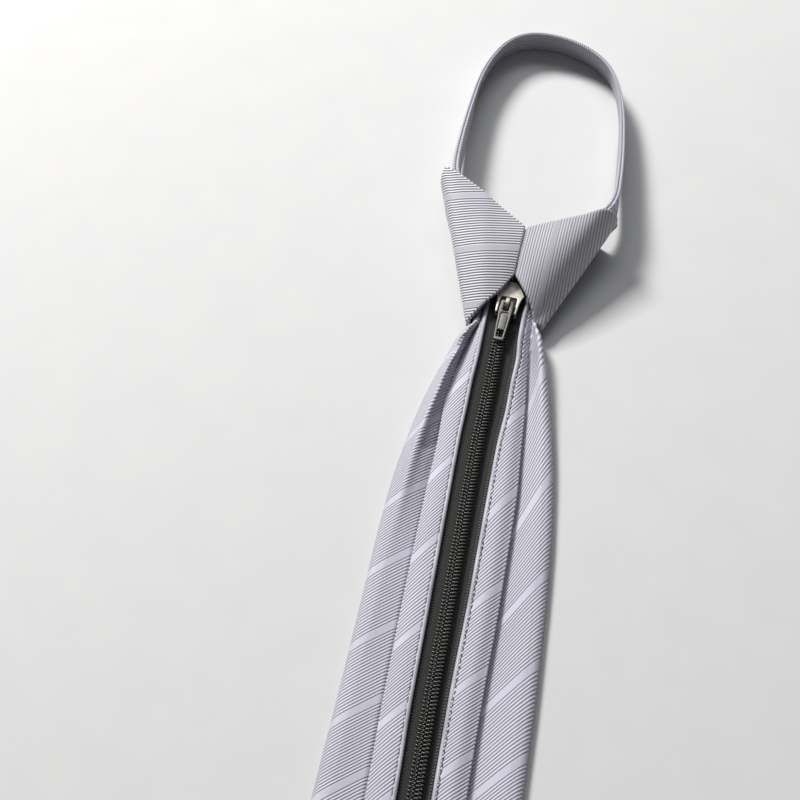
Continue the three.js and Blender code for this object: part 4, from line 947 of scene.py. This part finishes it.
# ---- knot -----------------------------------------------------------------------
def make_knot():
    c = columns(KNOT, KNOT_COLS)
    rows_n = 46
    k = np.concatenate([[0, 0.012, 0.025, 0.04, 0.06, 0.085, 0.12, 0.17, 0.24, 0.32], np.linspace(0.42, 17.58, 172), 18 - np.array([0.32, 0.24, 0.17, 0.12, 0.085, 0.06, 0.04, 0.025, 0.012, 0])])
    lines = np.stack([np.stack([c["xb"], c["yb"], c["zb"]], -1), np.stack([c["xt"], c["yt"], c["zt"]], -1)], axis=0)
    both = through(lines, None, k)  # (2, cols, 3) along the wrap; k is the running number of the table's column
    bulge = through(c["bulge"][:, None], None, k)[:, 0]
    t = np.linspace(0, 1, rows_n)
    pts = both[0][:, None, :] * (1 - t)[None, :, None] + both[1][:, None, :] * t[None, :, None]  # (cols, rows, 3)
    pts[..., 2] += bulge[:, None] * np.sin(np.pi * t)[None, :]
    # both wings roll down into the seam
    dist = np.minimum(k, 18 - k)[:, None] + 0 * t[None, :]
    pts[..., 2] -= 1.3 * np.exp(-((dist / 0.032) ** 2))
    # the left shoulder's upper corner is rounded
    ease = lambda q: np.clip(q, 0, 1) ** 2 * (3 - 2 * np.clip(q, 0, 1))
    pts[..., 1] -= (2.6 * ease((k - 3.1) / 1.0) * (1 - ease((k - 7) / 1.5)))[:, None] * t[None, :] ** 5
    # the right wing falls away towards its outer edge
    fall = np.clip((16.9 - k) / 1.9, 0, 1) * (k > 13.5)
    pts[..., 2] -= (2.3 * fall**1.6)[:, None] * (1 - 0.35 * t)[None, :] * np.clip((pts[..., 2] - 4) / 6, 0, 1)
    # a slight, soft unevenness across the wrap
    pts[..., 2] += 0.18 * np.sin(k * 2.1 + 0.7)[:, None] * np.sin(np.pi * t)[None, :] * (pts[..., 2] > 3)
    du = np.gradient(pts, axis=0)
    dv = np.gradient(pts, axis=1)
    n = np.cross(dv, du)
    n /= np.linalg.norm(n, axis=-1, keepdims=True)
    centre = np.array([0, 0, 8.0])
    flip = np.sign(np.sum(n * (centre - pts) * np.array([0.6, 0, 1.0]), axis=-1, keepdims=True))
    n = n * np.where(flip == 0, 1, flip)  # inwards
    mid = pts + n * (KNOT_WALL / 2)
    rings = wall_rings(mid, -n, KNOT_WALL, 5)
    rings[..., 2] = np.maximum(rings[..., 2], 0.0)
    # weave: level ribs on the left wing and round the front, ribs along the seam on the right wing
    x, y, z = mid[..., 0], mid[..., 1], mid[..., 2]
    a, tilt, b = math.radians(9.6), math.radians(17), math.radians(84.6)
    s_left = (-x * math.sin(a) + y * math.cos(a)) * math.cos(tilt) + z * math.sin(tilt) - 2.6
    # round the side the ribs climb towards the back, and round the front they lie level
    i3, i5 = (int(np.argmin(np.abs(k - q))) for q in (3.0, 5.0))
    climb = s_left[i3][None, :] + 0.80 * (y - y[i3][None, :]) + 0.58 * (z - z[i3][None, :])
    s_left = np.where(k[:, None] > k[i5], climb[i5][None, :], np.where(k[:, None] > k[i3], climb, s_left))
    t_left = arc(np.transpose(mid, (1, 0, 2))).T  # distance along the wrap, per row
    s_right = (x * math.sin(b) - y * math.cos(b)) * 1.08 - 9.28
    t_right = y
    side = (0.5 * (k[:-1] + k[1:]) > 12.0).astype(int)
    p = rows_n
    m = rings.shape[1]
    maps = [ring_uv(s_left, t_left, p, 5), ring_uv(s_right, t_right, p, 5)]
    # which[] picks by ring column, and here the change is along the wrap, so the two parts are made as one mesh by face rows
    return knot_loft("knot_cloth_wrap", rings, maps, side, p, 5)


def knot_loft(name, rings, maps, side, p, k):
    n, m, _ = rings.shape
    i, j = np.meshgrid(np.arange(n - 1), np.arange(m), indexing="ij")
    j2 = (j + 1) % m
    quads = np.stack([i * m + j, i * m + j2, (i + 1) * m + j2, (i + 1) * m + j], axis=-1).reshape(-1, 4)
    stack = np.stack(maps)
    w = side[i]
    uvs = np.stack([stack[w, i, j], stack[w, i, j + 1], stack[w, i + 1, j + 1], stack[w, i + 1, j]], axis=-2).reshape(-1, 4, 2)
    others = []
    for base in (0, (n - 1) * m):
        inner = lambda a: base + 2 * p + k - 1 - a
        for a in range(p - 1):
            others.append([base + a, base + a + 1, inner(a + 1), inner(a)])
        others.append([base + p - 1 + a for a in range(k + 2)])
        others.append([base + (2 * p + k - 1 + a) % m for a in range(k + 2)])
    mesh = mesh_from(name, row(rings.reshape(-1, 3)), quads, uvs, others)
    # the lighter copy, painted light, and the darker copy for the right wing's face rows, painted shade
    mesh.materials.append(KNOT_CLOTH_PAINTED_LIGHT)
    mesh.materials.append(WING_CLOTH_PAINTED_SHADE)
    index = np.zeros(len(mesh.polygons), int)
    index[: len(quads)] = w.ravel()
    mesh.polygons.foreach_set("material_index", index.tolist())
    return add_object(name, mesh)


knot = make_knot()

# ---- neck band --------------------------------------------------------------------
def make_band():
    b = np.array(BAND, float)
    line = through(b, 260)
    xy, low, lean, wall = line[:, :2], np.maximum(line[:, 2], 0), np.maximum(line[:, 3], 0), line[:, 4]
    tan = np.gradient(xy, axis=0)
    tan /= np.linalg.norm(tan, axis=1, keepdims=True)
    out = np.stack([-tan[:, 1], tan[:, 0]], axis=-1)
    high = low + np.sqrt(BAND_HEIGHT**2 - lean**2)
    # section: one strip folded along the bottom, its two layers side by side, a slit between them down to the fold.
    # Each point: side (in half walls), place between bottom and top (0 to 1), and a rise in half walls
    sec = []
    for centre in (-0.5, 0.5):
        sec += [(centre + 0.49 * math.cos(q), 1.0, 0.5 * (math.sin(q) - 1)) for q in np.linspace(math.pi, 0, 9)]
        if centre < 0:
            sec += [(-0.02, 1.0, -1.6), (-0.02, 0.55, 0.0), (-0.02, 0.10, 0.0), (0.02, 0.10, 0.0), (0.02, 0.55, 0.0), (0.02, 1.0, -1.6)]
    sec += [(1.0 - 0.10 * math.sin(math.pi * f), f, 0.0) for f in np.linspace(0.90, 0.10, 9)]
    for centre in (0.5, -0.5):
        sec += [(centre + 0.49 * math.cos(q), 0.0, 0.5 * (math.sin(q) + 1)) for q in np.linspace(0, -math.pi, 7)]
    sec += [(-1.0 + 0.10 * math.sin(math.pi * f), f, 0.0) for f in np.linspace(0.10, 0.90, 9)]
    off, place, rise = (np.array(c) for c in zip(*sec))
    along = np.concatenate([[0], np.cumsum(np.linalg.norm(np.diff(xy, axis=0), axis=1))])
    soft = 0.22 * np.sin(along / 9.0)[:, None] * np.sin(math.pi * place)[None, :] + 0.12 * np.sin(along / 3.7 + 1)[:, None] * (place * (1 - place) * 4)[None, :]
    half = wall[:, None] / 2
    side = off[None, :] * half + lean[:, None] * (1 - place[None, :]) + soft
    z = low[:, None] + (high - low)[:, None] * place[None, :] + rise[None, :] * half
    pts = np.stack([xy[:, None, 0] + out[:, None, 0] * side, xy[:, None, 1] + out[:, None, 1] * side, np.maximum(z, 0)], axis=-1)
    flat = np.stack([off * 1.0, place * BAND_HEIGHT + rise], axis=-1)
    ring_len = np.concatenate([[0], np.cumsum(np.hypot(*np.diff(np.vstack([flat, flat[:1]]), axis=0).T))])
    u = ring_len[None, :] + 0 * along[:, None]
    v = along[:, None] + 0 * ring_len[None, :]
    return loft("neck_band_cloth", pts, np.stack([u * 0.5 + v * 0.866, u * 0.866 - v * 0.5], axis=-1), None, 4, BAND_CLOTH, sharp=80)


band = make_band()

# ---- frame: rides and replaced nodes -------------------------------------------------
for piece, node, slot in (
    (blade, "blade", "cloth"), (strips[-1], "zip_strip_left", "strip_cloth"), (strips[1], "zip_strip_right", "strip_cloth"),
    (tapes[-1], "zip_tape_left", "tape"), (tapes[1], "zip_tape_right", "tape"), (coils[-1], "zip_coil_left", "coil"), (coils[1], "zip_coil_right", "coil"),
    (stop, "bottom_stop", "coil"), (slider, "slider_body", "slider"), (knot, "knot_wrap", "knot_cloth"), (band, "neck_band", "band_cloth"),
):
    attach(piece, "tie")
    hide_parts(node)
for piece in stitches.values():
    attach(piece, "tie")
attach(pull, "pull")
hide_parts("pull_tab")

# ---- stage and light --------------------------------------------------------------------
floor_mesh = bpy.data.meshes.new("floor")
floor_mesh.from_pydata([(-3, -3, 0), (3, -3, 0), (3, 3, 0), (-3, 3, 0)], [], [(0, 1, 2, 3)])
floor = add_object("floor", floor_mesh)
fm = Nodes("floor_paper")
fn = fm.noise(fm.place(), 60.0, 3.0)
floor_mesh.materials.append(fm.set(Base_Color=fm.mix(fn, rgb(0.60, 0.60, 0.60), rgb(0.64, 0.64, 0.635)), Roughness=0.75, Specular_IOR_Level=0.25))

world = bpy.data.worlds.new("studio")
bpy.context.scene.world = world
world.use_nodes = True
world.node_tree.nodes["Background"].inputs[0].default_value = (0.90, 0.93, 1.0, 1.0)
world.node_tree.nodes["Background"].inputs[1].default_value = 0.12


def area(name, at, look, size, power, colour=(1, 1, 1)):
    d = bpy.data.lights.new(name, "AREA")
    d.shape, d.size, d.size_y = "RECTANGLE", size[0], size[1]
    d.energy, d.color = power, colour
    o = bpy.data.objects.new(name, d)
    bpy.context.scene.collection.objects.link(o)
    o.location = at
    o.rotation_euler = (Vector(look) - Vector(at)).to_track_quat("-Z", "Y").to_euler()
    return o


area("key", (-0.82, 1.02, 1.10), (0.0, 0.0, 0.0), (0.42, 0.42), 37.5, (1.0, 0.985, 0.97))
area("sky", (-0.15, 1.00, 1.80), (0.0, 0.0, 0.0), (1.3, 0.8), 10.0, (0.97, 0.98, 1.0))

bpy.context.scene.view_settings.view_transform = "Standard"
